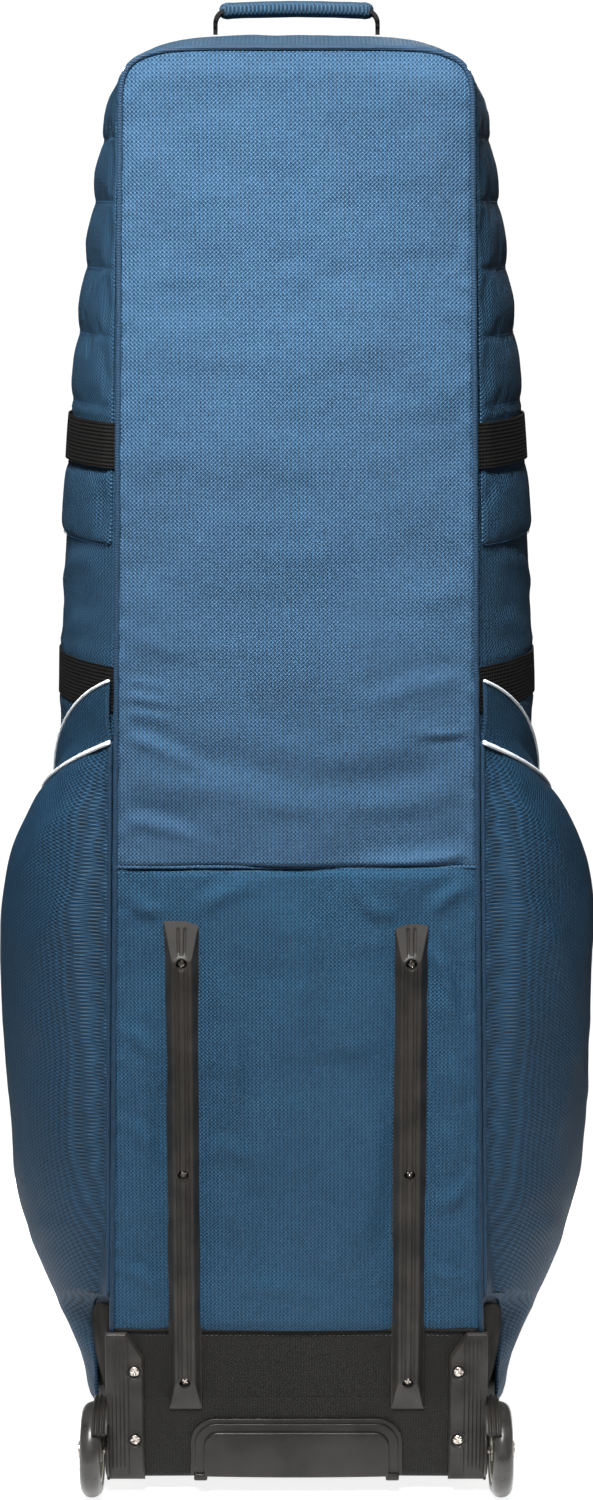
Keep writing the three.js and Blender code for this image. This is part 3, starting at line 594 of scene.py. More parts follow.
def woven(name, dark, light, axes, pitch=3.4, depth=0.6, roughness=0.62, specular=0.25, contrast=1.0):
    """Heavy nylon: a basket weave over two axes, uneven threads and slow changes of tone, with a
    painted highlight on each yarn and painted shade between them.
    """
    g = Graph(name, roughness, specular=specular)
    across, along = axes
    over = g.math("MULTIPLY", g.wave(across, pitch), g.wave(along, pitch))
    ribs = g.wave(across, pitch, 0.6)
    fine = g.math("MULTIPLY", g.wave(across, pitch / 2, 1.0), g.wave(along, pitch / 2, 0.4))
    weave = g.math("ADD", over, g.math("MULTIPLY", ribs, 0.35))
    weave = g.math("ADD", weave, g.math("MULTIPLY", fine, 0.3))
    long_way = {"x": (1, 4, 4), "y": (4, 1, 4), "z": (4, 4, 1)}
    threads = g.noise(9, 2.0, long_way[along])
    picks = g.noise(11, 2.0, long_way[across])
    # Crests of the weave lighter and its hollows darker: a painted highlight on each yarn and painted
    # shade between the yarns.
    tone = g.span(weave, -1.2, 1.2, 0.5 - 0.5 * contrast, 0.5 + 0.5 * contrast)
    tone = g.math("ADD", tone, g.span(threads, 0.3, 0.7, -0.05, 0.05))
    tone = g.math("ADD", tone, g.span(picks, 0.3, 0.7, -0.05, 0.05))
    # Slow blotches of tone: uneven colour, and partly painted soft shade.
    tone = g.math("ADD", tone, g.span(g.noise(110, 3.0), 0.3, 0.7, -0.06, 0.06))
    g.colour(g.mix(g.math("MAXIMUM", tone, 0.0), linear(dark), linear(light)))
    g.rough(g.span(weave, -1.2, 1.2, roughness + 0.12, roughness - 0.08))
    g.bump(g.math("ADD", weave, g.math("MULTIPLY", threads, 0.8)), depth, 0.7)
    return g.material


def webbing_material(name, dark, light, across, along):
    """Ribbed webbing: fine ribs along the strap, crossed by its picks, with a painted highlight on the
    ribs and painted shade in the furrows.
    """
    g = Graph(name, 0.68, specular=0.2)
    ribs = g.wave(across, 3.1)
    picks = g.wave(along, 1.9)
    height = g.math("ADD", ribs, g.math("MULTIPLY", picks, 0.55))
    # Raised ribs lighter and furrows darker: painted highlight and painted shade; the noise is uneven
    # tone.
    tone = g.math("ADD", g.span(height, -1.5, 1.5), g.span(g.noise(12), 0.3, 0.7, -0.12, 0.15))
    g.colour(g.mix(tone, linear(dark), linear(light)))
    g.bump(height, 0.3, 0.9)
    return g.material


def moulded(name, dark, light, roughness=0.48, grain=0.9, depth=0.08, specular=0.3):
    """Moulded plastic with a fine grain, worn a little smoother in places."""
    g = Graph(name, roughness, specular=specular)
    fine = g.noise(grain, 2.0)
    worn = g.noise(28, 4.0)
    g.colour(g.mix(g.span(worn, 0.3, 0.75), linear(dark), linear(light)))
    g.rough(g.span(worn, 0.3, 0.7, roughness + 0.07, roughness - 0.08))
    g.bump(fine, depth, 0.7)
    return g.material


def smooth_stuff(name, colour, other, roughness, metallic=0.0, coat=0.0, size=8.0):
    """Rubber, glossy plastic, metal or coated trim: two near tones and uneven gloss."""
    g = Graph(name, roughness, metallic=metallic, coat=coat)
    patches = g.noise(size, 4.0)
    g.colour(g.mix(g.span(patches, 0.3, 0.7), linear(colour), linear(other)))
    g.rough(g.span(patches, 0.3, 0.7, roughness * 0.85, roughness * 1.2))
    g.bump(g.noise(size * 0.25, 2.0), 0.03, 0.5)
    return g.material


BACK_CLOTH = woven("back_cloth", 0x132534, 0x3D6384, "xz")
# The lower panel's cloth is the back's cloth painted darker: painted shade for the light falling off
# down the case.
SHADED_LOWER_CLOTH = woven("lower_cloth", 0x0A2031, 0x265574, "xz")
# The sides' and the pockets' cloths are the back's cloth painted darker still: painted shade for sides
# that face away from the light.
SHADED_SIDE_CLOTH = woven("side_cloth", 0x0B1C2A, 0x274C67, "yz")
SHADED_POCKET_CLOTH = woven("pocket_cloth", 0x061824, 0x1B435F, "yz")
TOP_CLOTH = woven("top_cloth", 0x11202C, 0x34536B, "xy")
FRONT_CLOTH = woven("front_cloth", 0x112433, 0x345D7A, "xz")
WELT_CLOTH = woven("welt_cloth", 0x081826, 0x24445F, "yz", pitch=2.2, depth=0.2, contrast=0.7)
BASE_CLOTH = woven("base_cloth", 0x0F0F0F, 0x282725, "xz", pitch=2.4, depth=0.3, specular=0.15)
LINING = woven("lining", 0x5A5E64, 0x7C8086, "yz", pitch=1.8, depth=0.1, contrast=0.6)
STRAP = webbing_material("strap_webbing", 0x030303, 0x110F0E, "z", "y")
HANDLE_WEBBING = webbing_material("handle_webbing", 0x060606, 0x1D1B1A, "y", "x")
MOULDED = moulded("moulded_black", 0x1E1C1A, 0x363330)
SATIN = moulded("kick_black", 0x171514, 0x262321, roughness=0.4, grain=2.0, depth=0.04)
MATT_BLACK = moulded("matt_black", 0x171614, 0x2A2825, roughness=0.85, specular=0.05)
BUCKLE_PLASTIC = moulded("buckle_black", 0x141313, 0x242221, roughness=0.36)
RUBBER = smooth_stuff("tyre_rubber", 0x2B2A29, 0x403E3C, 0.3, size=14)
HUB = smooth_stuff("hub_plastic", 0xC9C4AE, 0xDCD8C6, 0.34, size=10)
STEEL = smooth_stuff("screw_steel", 0xB9AFA6, 0xD8CFC6, 0.28, metallic=1.0, size=3)
ZIP_METAL = smooth_stuff("zip_metal", 0x1C1C1D, 0x2C2C2E, 0.35, metallic=0.6, size=3)
PIPING = smooth_stuff("white_piping", 0xD9E2EA, 0xF0F4F7, 0.45, size=5)
THREAD = smooth_stuff("blue_thread", 0x16385A, 0x24507C, 0.6, size=2)
BLACK_THREAD = smooth_stuff("black_thread", 0x2B2A2A, 0x3A3938, 0.6, size=2)
ZIP_TAPE = woven("zip_tape", 0x0E0E0F, 0x222224, "yz", pitch=1.8, depth=0.15, roughness=0.65)


def finish_piece(obj, body, slot, *nodes):
    """Rides the piece on its body and hides the CAD nodes it stands for. The slot is not used."""
    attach(obj, body)
    if nodes:
        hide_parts(*nodes)
    return obj


# ---- Camera, light and floor --------------------------------------------------------------
def build_camera():
    """The photo's camera: straight behind the case, a little below its top, looking down."""
    data = bpy.data.cameras.new("camera")
    data.lens = CAMERA_LENS
    data.sensor_width = 36
    camera = bpy.data.objects.new("camera", data)
    camera.location = (0.0, BACK_Y / 1000 - CAMERA_DISTANCE, CAMERA_HEIGHT)
    camera.rotation_euler = (PI / 2 - CAMERA_PITCH, 0, 0)
    bpy.context.scene.collection.objects.link(camera)
    bpy.context.scene.camera = camera


def build_floor():
    """A round pale floor, lit a little from within so that it meets the backdrop."""
    mesh = bpy.data.meshes.new("floor")
    round_floor = [
        (FLOOR_RADIUS * math.cos(a), FLOOR_RADIUS * math.sin(a), 0)
        for a in np.linspace(0, 2 * PI, 64, endpoint=False)
    ]
    mesh.from_pydata(round_floor, [], [list(range(len(round_floor)))])
    floor = bpy.data.objects.new("floor", mesh)
    bpy.context.scene.collection.objects.link(floor)
    pale = Graph("floor_pale", 0.85)
    pale.colour(linear(0xF7F7F7))
    pale.shader.inputs["Emission Color"].default_value = (1, 1, 1, 1)
    pale.shader.inputs["Emission Strength"].default_value = 0.85
    mesh.materials.append(pale.material)


def build_backdrop():
    """White behind the case for the camera, and a faint fill from all round for the light."""
    world = bpy.data.worlds.new("studio")
    world.use_nodes = True
    tree = world.node_tree
    fill = tree.nodes["Background"]
    fill.inputs[0].default_value = (1, 1, 1, 1)
    fill.inputs[1].default_value = FILL_LIGHT
    backdrop = tree.nodes.new("ShaderNodeBackground")
    backdrop.inputs[0].default_value = (1, 1, 1, 1)
    backdrop.inputs[1].default_value = BACKDROP_LIGHT
    rays = tree.nodes.new("ShaderNodeLightPath")
    blend = tree.nodes.new("ShaderNodeMixShader")
    tree.links.new(rays.outputs["Is Camera Ray"], blend.inputs[0])
    tree.links.new(fill.outputs[0], blend.inputs[1])
    tree.links.new(backdrop.outputs[0], blend.inputs[2])
    tree.links.new(blend.outputs[0], tree.nodes["World Output"].inputs[0])
    bpy.context.scene.world = world
    bpy.context.scene.view_settings.view_transform = "Standard"


def lamp(name, kind, where, aim, power):
    """A lamp of that kind, turned towards its aim."""
    light = bpy.data.lights.new(name, kind)
    light.energy = power
    obj = bpy.data.objects.new(name, light)
    obj.location = where
    obj.rotation_euler = (Vector(aim) - Vector(where)).to_track_quat("-Z", "Y").to_euler()
    bpy.context.scene.collection.objects.link(obj)
    return light


def area_lamp(name, where, aim, size, power, spread_degrees=180):
    """A rectangular lamp."""
    light = lamp(name, "AREA", where, aim, power)
    light.shape = "RECTANGLE"
    light.size, light.size_y = size
    light.spread = math.radians(spread_degrees)


def build_lamps():
    """A soft sun from above, a narrow key on the upper panel, and weak fills round the case."""
    overhead = lamp("overhead", "SUN", (-0.9, -2.6, 4.4), (0, 0, 0), 0.75)
    overhead.angle = math.radians(16)
    area_lamp("key", (-0.25, -1.4, 2.35), (-0.02, -0.14, 1.0), (0.6, 0.45), 14.5, 56)
    area_lamp("left", (-2.6, -0.4, 1.6), (0, 0, 0.7), (0.8, 1.6), 2)
    area_lamp("right", (2.6, -0.4, 1.6), (0, 0, 0.7), (0.8, 1.6), 2)
    area_lamp("front", (0.6, 2.8, 2.4), (0, 0, 0.7), (1.6, 1.4), 24)


# ---- Simulation -------------------------------------------------------------------------
def inflate(grid, pinned, pressure, grow, cap, frames=20, stiffness=12.0):
    """Cloth pressed outwards from a grid of points in millimetres, held where pinned is true."""
    n, m = grid.shape[:2]
    temp = make_object("cloth_work", grid, grid_faces(n, m), LINING)
    group = temp.vertex_groups.new(name="pins")
    group.add([int(i) for i in np.flatnonzero(pinned.reshape(-1))], 1.0, "REPLACE")
    cloth = temp.modifiers.new("cloth", "CLOTH")
    settings = cloth.settings
    settings.quality = 6
    settings.mass = 0.25
    settings.tension_stiffness = stiffness
    settings.compression_stiffness = stiffness
    settings.shear_stiffness = 4
    settings.bending_stiffness = 0.4
    settings.tension_damping = 8
    settings.vertex_group_mass = "pins"
    settings.use_pressure = True
    settings.uniform_pressure_force = pressure
    settings.shrink_min = -grow
    settings.effector_weights.gravity = 0
    cloth.point_cache.frame_end = frames
    scene = bpy.context.scene
    for number in range(1, frames + 1):
        scene.frame_set(number)
    graph = bpy.context.evaluated_depsgraph_get()
    shaped = temp.evaluated_get(graph).to_mesh()
    co = np.zeros(len(shaped.vertices) * 3)
    shaped.vertices.foreach_get("co", co)
    scene.frame_set(1)
    result = co.reshape(n, m, 3) * 1000
    result[..., 1] -= BACK_Y
    mesh = temp.data
    bpy.data.objects.remove(temp)
    bpy.data.meshes.remove(mesh)
    move = result - grid
    size = np.linalg.norm(move, axis=-1, keepdims=True)
    return grid + move * np.minimum(1, cap / np.maximum(size, 1e-6))


# ---- Back panels --------------------------------------------------------------------------
def arch_columns(count_side=9, count_top=78):
    """Where the back panel's columns stand: a share of its half-width and its top height."""
    shoulder = 0.62
    over = np.linspace(shoulder, PI - shoulder, count_top)
    beside = np.linspace(0, shoulder, count_side)[:-1]
    angles = np.concatenate([beside, over, PI - beside[::-1]])
    c, s = np.cos(angles), np.sin(angles)
    reach = rounded_reach(c, s, SQUARE["back"])
    return reach * c, CORNER_Z + (TOPS["back"] - CORNER_Z) * reach * s


UPPER_CREASES = [
    # start (x, z), end (x, z), width, depth
    ((157, 595), (48, 583), 5.0, 2.9),
    ((150, 612), (40, 597), 11, -2.2),
    ((-156, 622), (-72, 604), 7, 2.8),
    ((156, 702), (96, 696), 4.5, 2.6),
    ((120, 700), (8, 671), 15, 2.4),
    ((-156, 697), (-72, 664), 6.5, 3.0),
    ((-156, 741), (-108, 739), 3.6, 1.2),
    ((-156, 729), (-100, 723), 3.8, 1.4),
    ((-156, 714), (-96, 708), 3.8, 1.3),
    ((-150, 652), (50, 628), 15, 2.6),
    ((150, 655), (20, 634), 13, 2.2),
    ((60, 722), (156, 748), 9, 1.6),
    ((-150, 776), (-90, 762), 9, 1.2),
    ((154, 830), (96, 812), 11, 1.2),
    ((-120, 690), (60, 668), 16, 1.6),
    ((-150, 1004), (-60, 1034), 14, 0.9),
]
LOWER_CREASES = [
    ((-84, 540), (-36, 570), 8, 3.0),
    ((-114, 540), (-153, 560), 7, 2.8),
    ((84, 538), (44, 566), 8, 2.8),
    ((113, 536), (154, 572), 7, 3.2),
    ((114, 512), (142, 448), 6, 4.5),
    ((118, 470), (154, 402), 9, 3.3),
    ((-153, 436), (-117, 410), 7, 2.8),
    ((-153, 350), (-117, 322), 8, 2.5),
    ((153, 300), (117, 266), 7, 2.7),
    ((-80, 330), (-30, 318), 9, 2.1),
    ((-60, 200), (70, 180), 10, 2.2),
    ((70, 420), (20, 440), 12, 2.1),
    ((116, 214), (156, 196), 6, 3.0),
    ((-156, 214), (-118, 198), 6, 3.0),
    ((-70, 500), (-52, 330), 12, 4.6),
    ((-20, 560), (12, 420), 17, 4.4),
    ((66, 360), (58, 210), 12, 4.2),
    ((-64, 290), (-40, 190), 12, 4.0),
    ((30, 330), (44, 200), 16, 4.2),
    ((136, 420), (142, 300), 8, 3.4),
    ((-138, 400), (-134, 270), 8, 3.0),
]


def back_surface(share, z, creases, seams, seed):
    """The cloth of a back panel. share runs over its width from -1 to 1."""
    half = half_width("back", z) - 0.8
    x = share * half
    edge = half * (1 - np.abs(share))
    p = xyz(x, 0, z)
    pillow = 2.0 * smooth(0, 5, edge) + 2.4 * smooth(2, 34, edge) + 1.2 * smooth(0, 120, edge)
    for height, width in seams:
        pillow = pillow * smooth(-2, width, np.abs(z - height) + 2)
    waves = 4.6 * rumple(p, (130, 50, 100), seed) + 1.6 * rumple(p, (75, 50, 30), seed + 3)
    waves = waves + folds(x, z, creases)
    pucker = 0.55 * np.sin(z / 4.6 + 3 * rumple(p, (30, 30, 30), seed + 9)) * (1 - smooth(2, 17, edge))
    rise = 0.6 + pillow + waves * smooth(0, 20, edge) + pucker
    return xyz(x, -rise, z)


def back_panels():
    """Both panels of padded cloth, the rolled seam between them and its stitches."""
    share, top = arch_columns()
    v = np.linspace(0, 1, 250)
    z = SEAM_Z + 1 + (top[:, None] - 1.2 - SEAM_Z) * v[None, :] ** 1.2
    s = np.broadcast_to(share[:, None], z.shape)
    outer = back_surface(s, z, UPPER_CREASES, [(SEAM_Z, 7)], 11)
    near_top = smooth(0, 24, top[:, None] - z)
    outer[..., 1] = -0.6 + (outer[..., 1] + 0.6) * (0.15 + 0.85 * near_top)
    inner = xyz(outer[..., 0], PANEL_THICKNESS, outer[..., 2])
    panel = sheet("back_upper", outer, inner, BACK_CLOTH, LINING)
    finish_piece(panel, "case", "upper_cloth", "back_panel_upper")

    z_low = np.linspace(TRAY_BACK_TOP + 1, SEAM_Z - 0.2, 190)
    share_low = np.linspace(1, -1, 110)
    s, z = np.meshgrid(share_low, z_low, indexing="ij")
    outer = back_surface(s, z, LOWER_CREASES, [(SEAM_Z, 12), (TRAY_BACK_TOP, 14)], 23)
    rails = sum(bump(outer[..., 0], side * RAIL["x"], 18) for side in (-1, 1)) * smooth(560, 500, z)
    outer[..., 1] = outer[..., 1] * (1 - 0.86 * np.minimum(1, rails)) - 0.2
    inner = xyz(outer[..., 0], PANEL_THICKNESS, outer[..., 2])
    # Cloth painted darker than the upper panel's: painted shade.
    panel = sheet("back_lower", outer, inner, SHADED_LOWER_CLOTH, LINING)
    finish_piece(panel, "case", "lower_cloth", "back_panel_lower")

    # The rolled seam between the two, and the rows of stitches beside the seams.
    x = np.linspace(-1, 1, 90) * (half_width("back", SEAM_Z) - 1)
    sag = 0.8 * rumple(xyz(x, 0, 0), (60, 60, 60), 5)
    seam = xyz(x, 0.3 * sag - 1.4, SEAM_Z + sag)
    finish_piece(tube("back_seam_roll", seam, 1.5, BACK_CLOTH), "case", "upper_cloth")
    row = xyz(x * 0.985, -1.9, SEAM_Z - 5.5 + sag)
    finish_piece(stitches("back_seam_stitches", row, THREAD, (0, -1, 0)), "case", "lower_cloth")


def welt_path(inset=0.0, front=-0.6, bottom=TRAY_BACK_TOP):
    """Round the back panel's edge, from the base on the right over the top to the left."""
    x, z = outline("back", t_rows(bottom, 90, 1, 46))
    x, z = x - inset * np.minimum(1, x / 20), z - inset * smooth(CORNER_Z - 20, TOPS["back"], z)
    right = xyz(x, front, z)
    left = mirror_x(right[::-1][1:], -1)
    return np.concatenate([right, left])


def back_welts():
    """The covered cord round the back's edge and the stitches inside it."""
    path = welt_path()
    path = path + 0.35 * xyz(rumple(path, (40, 40, 16), 31), 0, 0)
    finish_piece(tube("back_welt", path, 2.5, WELT_CLOTH, 10), "case", "side_cloth")
    inner = welt_path(inset=7.0, front=-1.6, bottom=TRAY_BACK_TOP + 6)
    finish_piece(stitches("back_edge_stitches", inner, THREAD, (0, -1, 0)), "case", "upper_cloth")


# ---- Sides --------------------------------------------------------------------------------
WALL_CREASES = [
    # start (y, z), end (y, z), width, depth
    ((20, 842), (110, 822), 8, 2.2),
    ((180, 836), (90, 806), 9, 1.8),
    ((16, 790), (90, 772), 8, 1.8),
    ((190, 700), (120, 690), 8, 1.6),
]


def wall_folds(y, z):
    """The side wall's folds and the bulges beside the straps, which press into it."""
    strap_pull = sum(
        bump(z, STRAPS[k] + d, 7) * s
        for k in STRAPS
        for d, s in ((26, 1.6), (-26, 1.6), (0, -1.2))
    )
    return strap_pull + folds(y, z, WALL_CREASES)


def side_walls():
    """The padded side walls, from the back's edge to the zip."""
    y = np.linspace(0.6, ZIP_Y - ZIP_GAP, 64)
    t = t_rows(TRAY_TOP + 1, 210, TOP_SPLIT, 30)
    yy, tt = np.meshgrid(y, t, indexing="ij")
    for word, side in SIDES.items():
        base = wall(tt, yy)
        edge = np.minimum(yy - 0.6, ZIP_Y - ZIP_GAP - yy)
        waves = 1.3 * rumple(base, (60, 60, 60), 41 + side) + wall_folds(yy, base[..., 2])
        waves = waves + 0.6 * rumple(base, (20, 26, 18), 47 + side)
        rise = 0.4 + waves * smooth(0, 16, edge)
        outer, inner = off_wall(tt, yy, rise), off_wall(tt, yy, -WALL_THICKNESS)
        # Cloth painted darker than the back's: painted shade.
        piece = side_sheet(f"side_shell_{word}", outer, inner, side, SHADED_SIDE_CLOTH, LINING)
        finish_piece(piece, "case", "side_cloth", f"side_wall_{word}")


def top_band():
    """The cloth over the top and its piped seams."""
    y = np.linspace(0.6, ZIP_Y - ZIP_GAP, 56)
    reach = 1 - TOP_SPLIT
    v = np.linspace(-reach, reach, 84)
    yy, vv = np.meshgrid(y, v, indexing="ij")
    flip = np.where(vv < 0, 1, -1)[..., None]
    mirror = np.concatenate([flip, np.ones_like(flip), np.ones_like(flip)], -1)
    base = wall(1 - np.abs(vv), yy) * mirror
    normal = wall_normal(1 - np.abs(vv), yy) * mirror
    edge = np.minimum(np.minimum(yy, ZIP_Y - ZIP_GAP - yy), (reach - np.abs(vv)) * 700)
    waves = 0.9 * rumple(base, (50, 50, 50), 61) + 0.5 * rumple(base, (18, 26, 18), 62)
    feet = bump(np.abs(base[..., 0]), HANDLE["half"], 14) * bump(yy, HANDLE["y"], 22)
    rise = 0.3 + (1.2 + waves) * smooth(0, 18, edge) * (1 - smooth(0.2, 0.7, feet))
    outer, inner = base + normal * rise[..., None], base - normal * WALL_THICKNESS
    piece = sheet("top_band", outer, inner, TOP_CLOTH, LINING)
    finish_piece(piece, "case", "side_cloth", "top_gusset")
    for word, side in SIDES.items():
        ys = np.linspace(-2.2, ZIP_Y - ZIP_GAP, 60)
        path = mirror_x(off_wall(TOP_SPLIT, ys, 1.3), side)
        finish_piece(tube(f"top_piping_{word}", path, 2.3, PIPING, 10), "case", "piping")


def quilt_rows(rows_each=14):
    """The pads' rows up the wall, and which of them are sewn down."""
    heights, sewn = [], []
    for low, high in zip(QUILT_SEAMS[:-1], QUILT_SEAMS[1:]):
        for k in range(rows_each):
            heights.append(low + (high - low) * k / rows_each)
            sewn.append(k == 0)
    heights.append(QUILT_SEAMS[-1])
    sewn.append(True)
    over = np.linspace(t_at(QUILT_SEAMS[-1]), TOP_SPLIT - 0.004, 15)[1:]
    sewn += [False] * (len(over) - 1) + [True]
    return np.concatenate([t_at(np.array(heights)), over]), np.array(sewn)


def quilted_pads():
    """The pads above the pockets: cloth held at its seams and blown up between them."""
    t, sewn = quilt_rows()
    yy, tt = np.meshgrid(np.linspace(5, 207, 46), t, indexing="ij")
    base, normal = off_wall(tt, yy, 1.4), wall_normal(tt, yy)
    under_strap = np.abs(wall(tt, yy)[..., 2] - STRAPS["upper"]) < STRAP_WIDTH / 2 + 1
    pinned = sewn[None, :] | under_strap
    pinned[[0, -1], :] = True
    for word, side in SIDES.items():
        uneven = 0.3 * rumple(base, (60, 60, 40), 71 + side)
        start = base + normal * (0.8 + 1.2 * (~pinned) + uneven)[..., None]
        outer = inflate(start, pinned, 0.7, 0.012, QUILT_PUFF)
        # Cloth painted darker than the back's: painted shade.
        piece = side_sheet(f"quilt_{word}", outer, off_wall(tt, yy, 0.6), side, SHADED_SIDE_CLOTH)
        subdivide(piece, 1)
        finish_piece(piece, "case", "side_cloth", f"quilted_pad_{word}")
        for number, row in enumerate(np.flatnonzero(sewn)[:-1]):
            line = mirror_x(outer[1:-1, row] + normal[1:-1, row] * 0.5, side)
            up = mirror_x(normal[1:-1, row], side)
            thread = stitches(f"quilt_stitches_{word}_{number}", line, THREAD, up, 4.6, 3.2)
            finish_piece(thread, "case", "side_cloth")


def subdivide(obj, levels):
    """Smooths a mesh by dividing its faces, for good."""
    modifier = obj.modifiers.new("smooth", "SUBSURF")
    modifier.levels = levels
    modifier.render_levels = levels
    apply_modifiers(obj)
    return obj


# ---- Pockets ------------------------------------------------------------------------------
def piping_z(y):
    """The lower piping, along the top of the full pocket."""
    return 691 - 0.62 * y


def gusset_z(y):
    """The upper piping, along the top of the pocket's narrow tier."""
    return np.maximum(744 - 0.5 * y - 0.004 * y * y, piping_z(y) + 16)


def pocket_rear(z):
    """The pocket's rear edge: beside the back seam, and clear of the guard low down."""
    height = np.clip((z - WING["z"]) / (WING["half"] + 4), 0, 1)
    return 2.0 + 62 * np.sqrt(1 - height**2)


def pocket_rise(y, z):
    """How far the full pocket stands off the wall."""
    rear = 1.2 + 34 * (1 - smooth(110, 320, z))
    across = np.maximum(0, np.sin(PI * np.maximum(0, y - rear) / (POCKET_FRONT + 3 - rear))) ** 0.72
    across = across * smooth(-1, 22, y - pocket_rear(z)) ** 0.5
    low = np.sin(PI / 2 * np.clip((z - POCKET_BOTTOM) / 230, 0, 1)) ** 1.35
    level = np.maximum(0, z - piping_z(y) + 178)
    high = np.maximum(0, 1 - (level / 186) ** 3.6)
    return 3.4 + across * (4 + (POCKET_BULGE - 4) * np.minimum(low, high))


POCKET_CREASES = [
    # start (y, z), end (y, z), width, depth
    ((30, 668), (110, 612), 9, 3.4),
    ((10, 640), (70, 560), 10, 3.0),
    ((190, 590), (120, 540), 10, 2.4),
    ((8, 560), (60, 470), 11, 2.4),
    ((30, 250), (120, 190), 10, 2.6),
    ((70, 150), (150, 110), 8, 2.4),
    ((195, 300), (130, 220), 11, 2.0),
]


def pocket_bag(word, side):
    """The full pocket, from the base up to the lower piping."""
    uu, vv = np.meshgrid(np.linspace(0, 1, 60), np.linspace(0, 1, 130), indexing="ij")
    y0 = pocket_rear(POCKET_BOTTOM + (680 - POCKET_BOTTOM) * vv)
    y = y0 + (POCKET_FRONT - y0) * uu
    z = POCKET_BOTTOM + (piping_z(y) - POCKET_BOTTOM) * vv
    base = wall(t_at(z), y)
    edge = np.minimum(np.minimum(y - y0, POCKET_FRONT - y), z - POCKET_BOTTOM)
    edge = np.minimum(edge, piping_z(y) - z)
    waves = 3.0 * rumple(base, (70, 60, 80), 81 + side) + 1.5 * rumple(base, (28, 26, 34), 85 + side)
    waves = (waves + folds(y, z, POCKET_CREASES)) * (0.3 + 0.7 * smooth(150, 340, z))
    pucker = 0.8 * np.sin(z / 5.2 + 3 * rumple(base, (30, 30, 30), 89)) * (1 - smooth(3, 20, edge))
    full = pocket_rise(y, z)
    rise = full + (waves * smooth(0, 26, edge) + pucker) * smooth(0, 4, edge)
    outer = off_wall(t_at(z), y, rise)
    inner = off_wall(t_at(z), y, np.maximum(0.8, full - 4.4))
    # Cloth painted darker than the back's: painted shade.
    piece = side_sheet(f"pocket_{word}", outer, inner, side, SHADED_POCKET_CLOTH, LINING)
    finish_piece(piece, "case", "lower_cloth", f"side_pocket_{word}")


def pocket_tier(word, side, ys):
    """The narrow tier between the pipings, which falls from the pocket back to the wall."""
    yy, ww = np.meshgrid(ys, np.linspace(0, 1, 22), indexing="ij")
    zz = piping_z(yy) + (gusset_z(yy) - piping_z(yy)) * ww
    tight = smooth(0, 0.4, ww)
    base = wall(t_at(zz), yy)
    inside = smooth(0, 0.25, ww) * smooth(0, 0.25, 1 - ww)
    lift = pocket_rise(yy, piping_z(yy)) * (1 - tight) + 5.8 * tight
    lift = lift + 1.3 * rumple(base, (30, 30, 30), 93 + side) * inside
    outer, inner = off_wall(t_at(zz), yy, lift), off_wall(t_at(zz), yy, lift - 1.6)
    # Cloth painted darker than the back's: painted shade.
    tier = side_sheet(f"pocket_tier_{word}", outer, inner, side, SHADED_POCKET_CLOTH, LINING)
    finish_piece(tier, "case", "lower_cloth")


def pockets():
    """Each side's pocket with its tier, its two pipings and its rear welt."""
    ys = np.linspace(2.0, POCKET_FRONT, 60)
    zs = np.linspace(190, 690, 120)
    for word, side in SIDES.items():
        pocket_bag(word, side)
        pocket_tier(word, side, ys)
        top_rise = pocket_rise(ys, piping_z(ys))
        line = mirror_x(off_wall(t_at(piping_z(ys)), ys, top_rise + 1.6), side)
        cord = tube(f"piping_lower_{word}", line, 1.9, PIPING, 10)
        finish_piece(cord, "case", "piping", f"pocket_piping_{word}")
        line = mirror_x(off_wall(t_at(gusset_z(ys)), ys, 6.2), side)
        finish_piece(tube(f"piping_upper_{word}", line, 1.3, PIPING, 10), "case", "piping")
        line = mirror_x(off_wall(t_at(zs), 3.2, pocket_rise(3.2, zs) * 0.55 + 0.8), side)
        finish_piece(tube(f"pocket_welt_{word}", line, 2.2, WELT_CLOTH, 8), "case", "lower_cloth")


# ---- Straps and buckles -----------------------------------------------------------------
def straps():
    """The four compression straps, from the back's edge to their buckles."""
    ys = np.linspace(0.4, BUCKLE_REAR - 3, 60)
    for height, z in STRAPS.items():
        lift = STRAP_LIFT[height]
        rows = z + np.linspace(-1, 1, 12) * STRAP_WIDTH / 2
        yy, zz = np.meshgrid(ys, rows, indexing="ij")
        for word, side in SIDES.items():
            wavy = 0.7 * rumple(wall(t_at(zz), yy), (40, 30, 60), 101 + side)
            rise = 0.6 + (lift + wavy - 0.6) * smooth(0, 14, yy)
            outer = off_wall(t_at(zz), yy, rise + STRAP_THICKNESS)
            inner = off_wall(t_at(zz), yy, rise)
            piece = side_sheet(f"webbing_{height}_{word}", outer, inner, side, STRAP)
            sharpen(piece)
            finish_piece(piece, "case", "webbing", f"strap_{height}_{word}")


def plastic_box(parts, low, high, round_by):
    """Adds a rounded box of buckle plastic to the parts."""
    parts.append(box_object("part", low, high, BUCKLE_PLASTIC, round_by))


def buckle_socket(x0, x1, y0, y1, z, side):
    """The buckle's open frame, with four grip ribs on its outer face."""
    parts = []
    plastic_box(parts, (x0, y0, z - 22), (x1, y1, z - 16.5), 1)
    plastic_box(parts, (x0, y0, z + 18.5), (x1, y1, z + 22), 1)
    plastic_box(parts, (x0, y0, z - 17), (x0 + 1.7, y1, z + 19), 1)
    plastic_box(parts, (x1 - 1.7, y0, z - 17), (x1, y1, z + 19), 1)
    plastic_box(parts, (x0 + 0.5, y0 + 1, z - 17), (x1 - 0.5, y0 + 11, z + 19), 1)
    out = x1 if side > 0 else x0
    for k in range(4):
        at = z - 9 + 6 * k
        plastic_box(parts, (out - 0.6, y0 + 4, at), (out + 0.6, y1 - 9, at + 2), 0.4)
    return parts


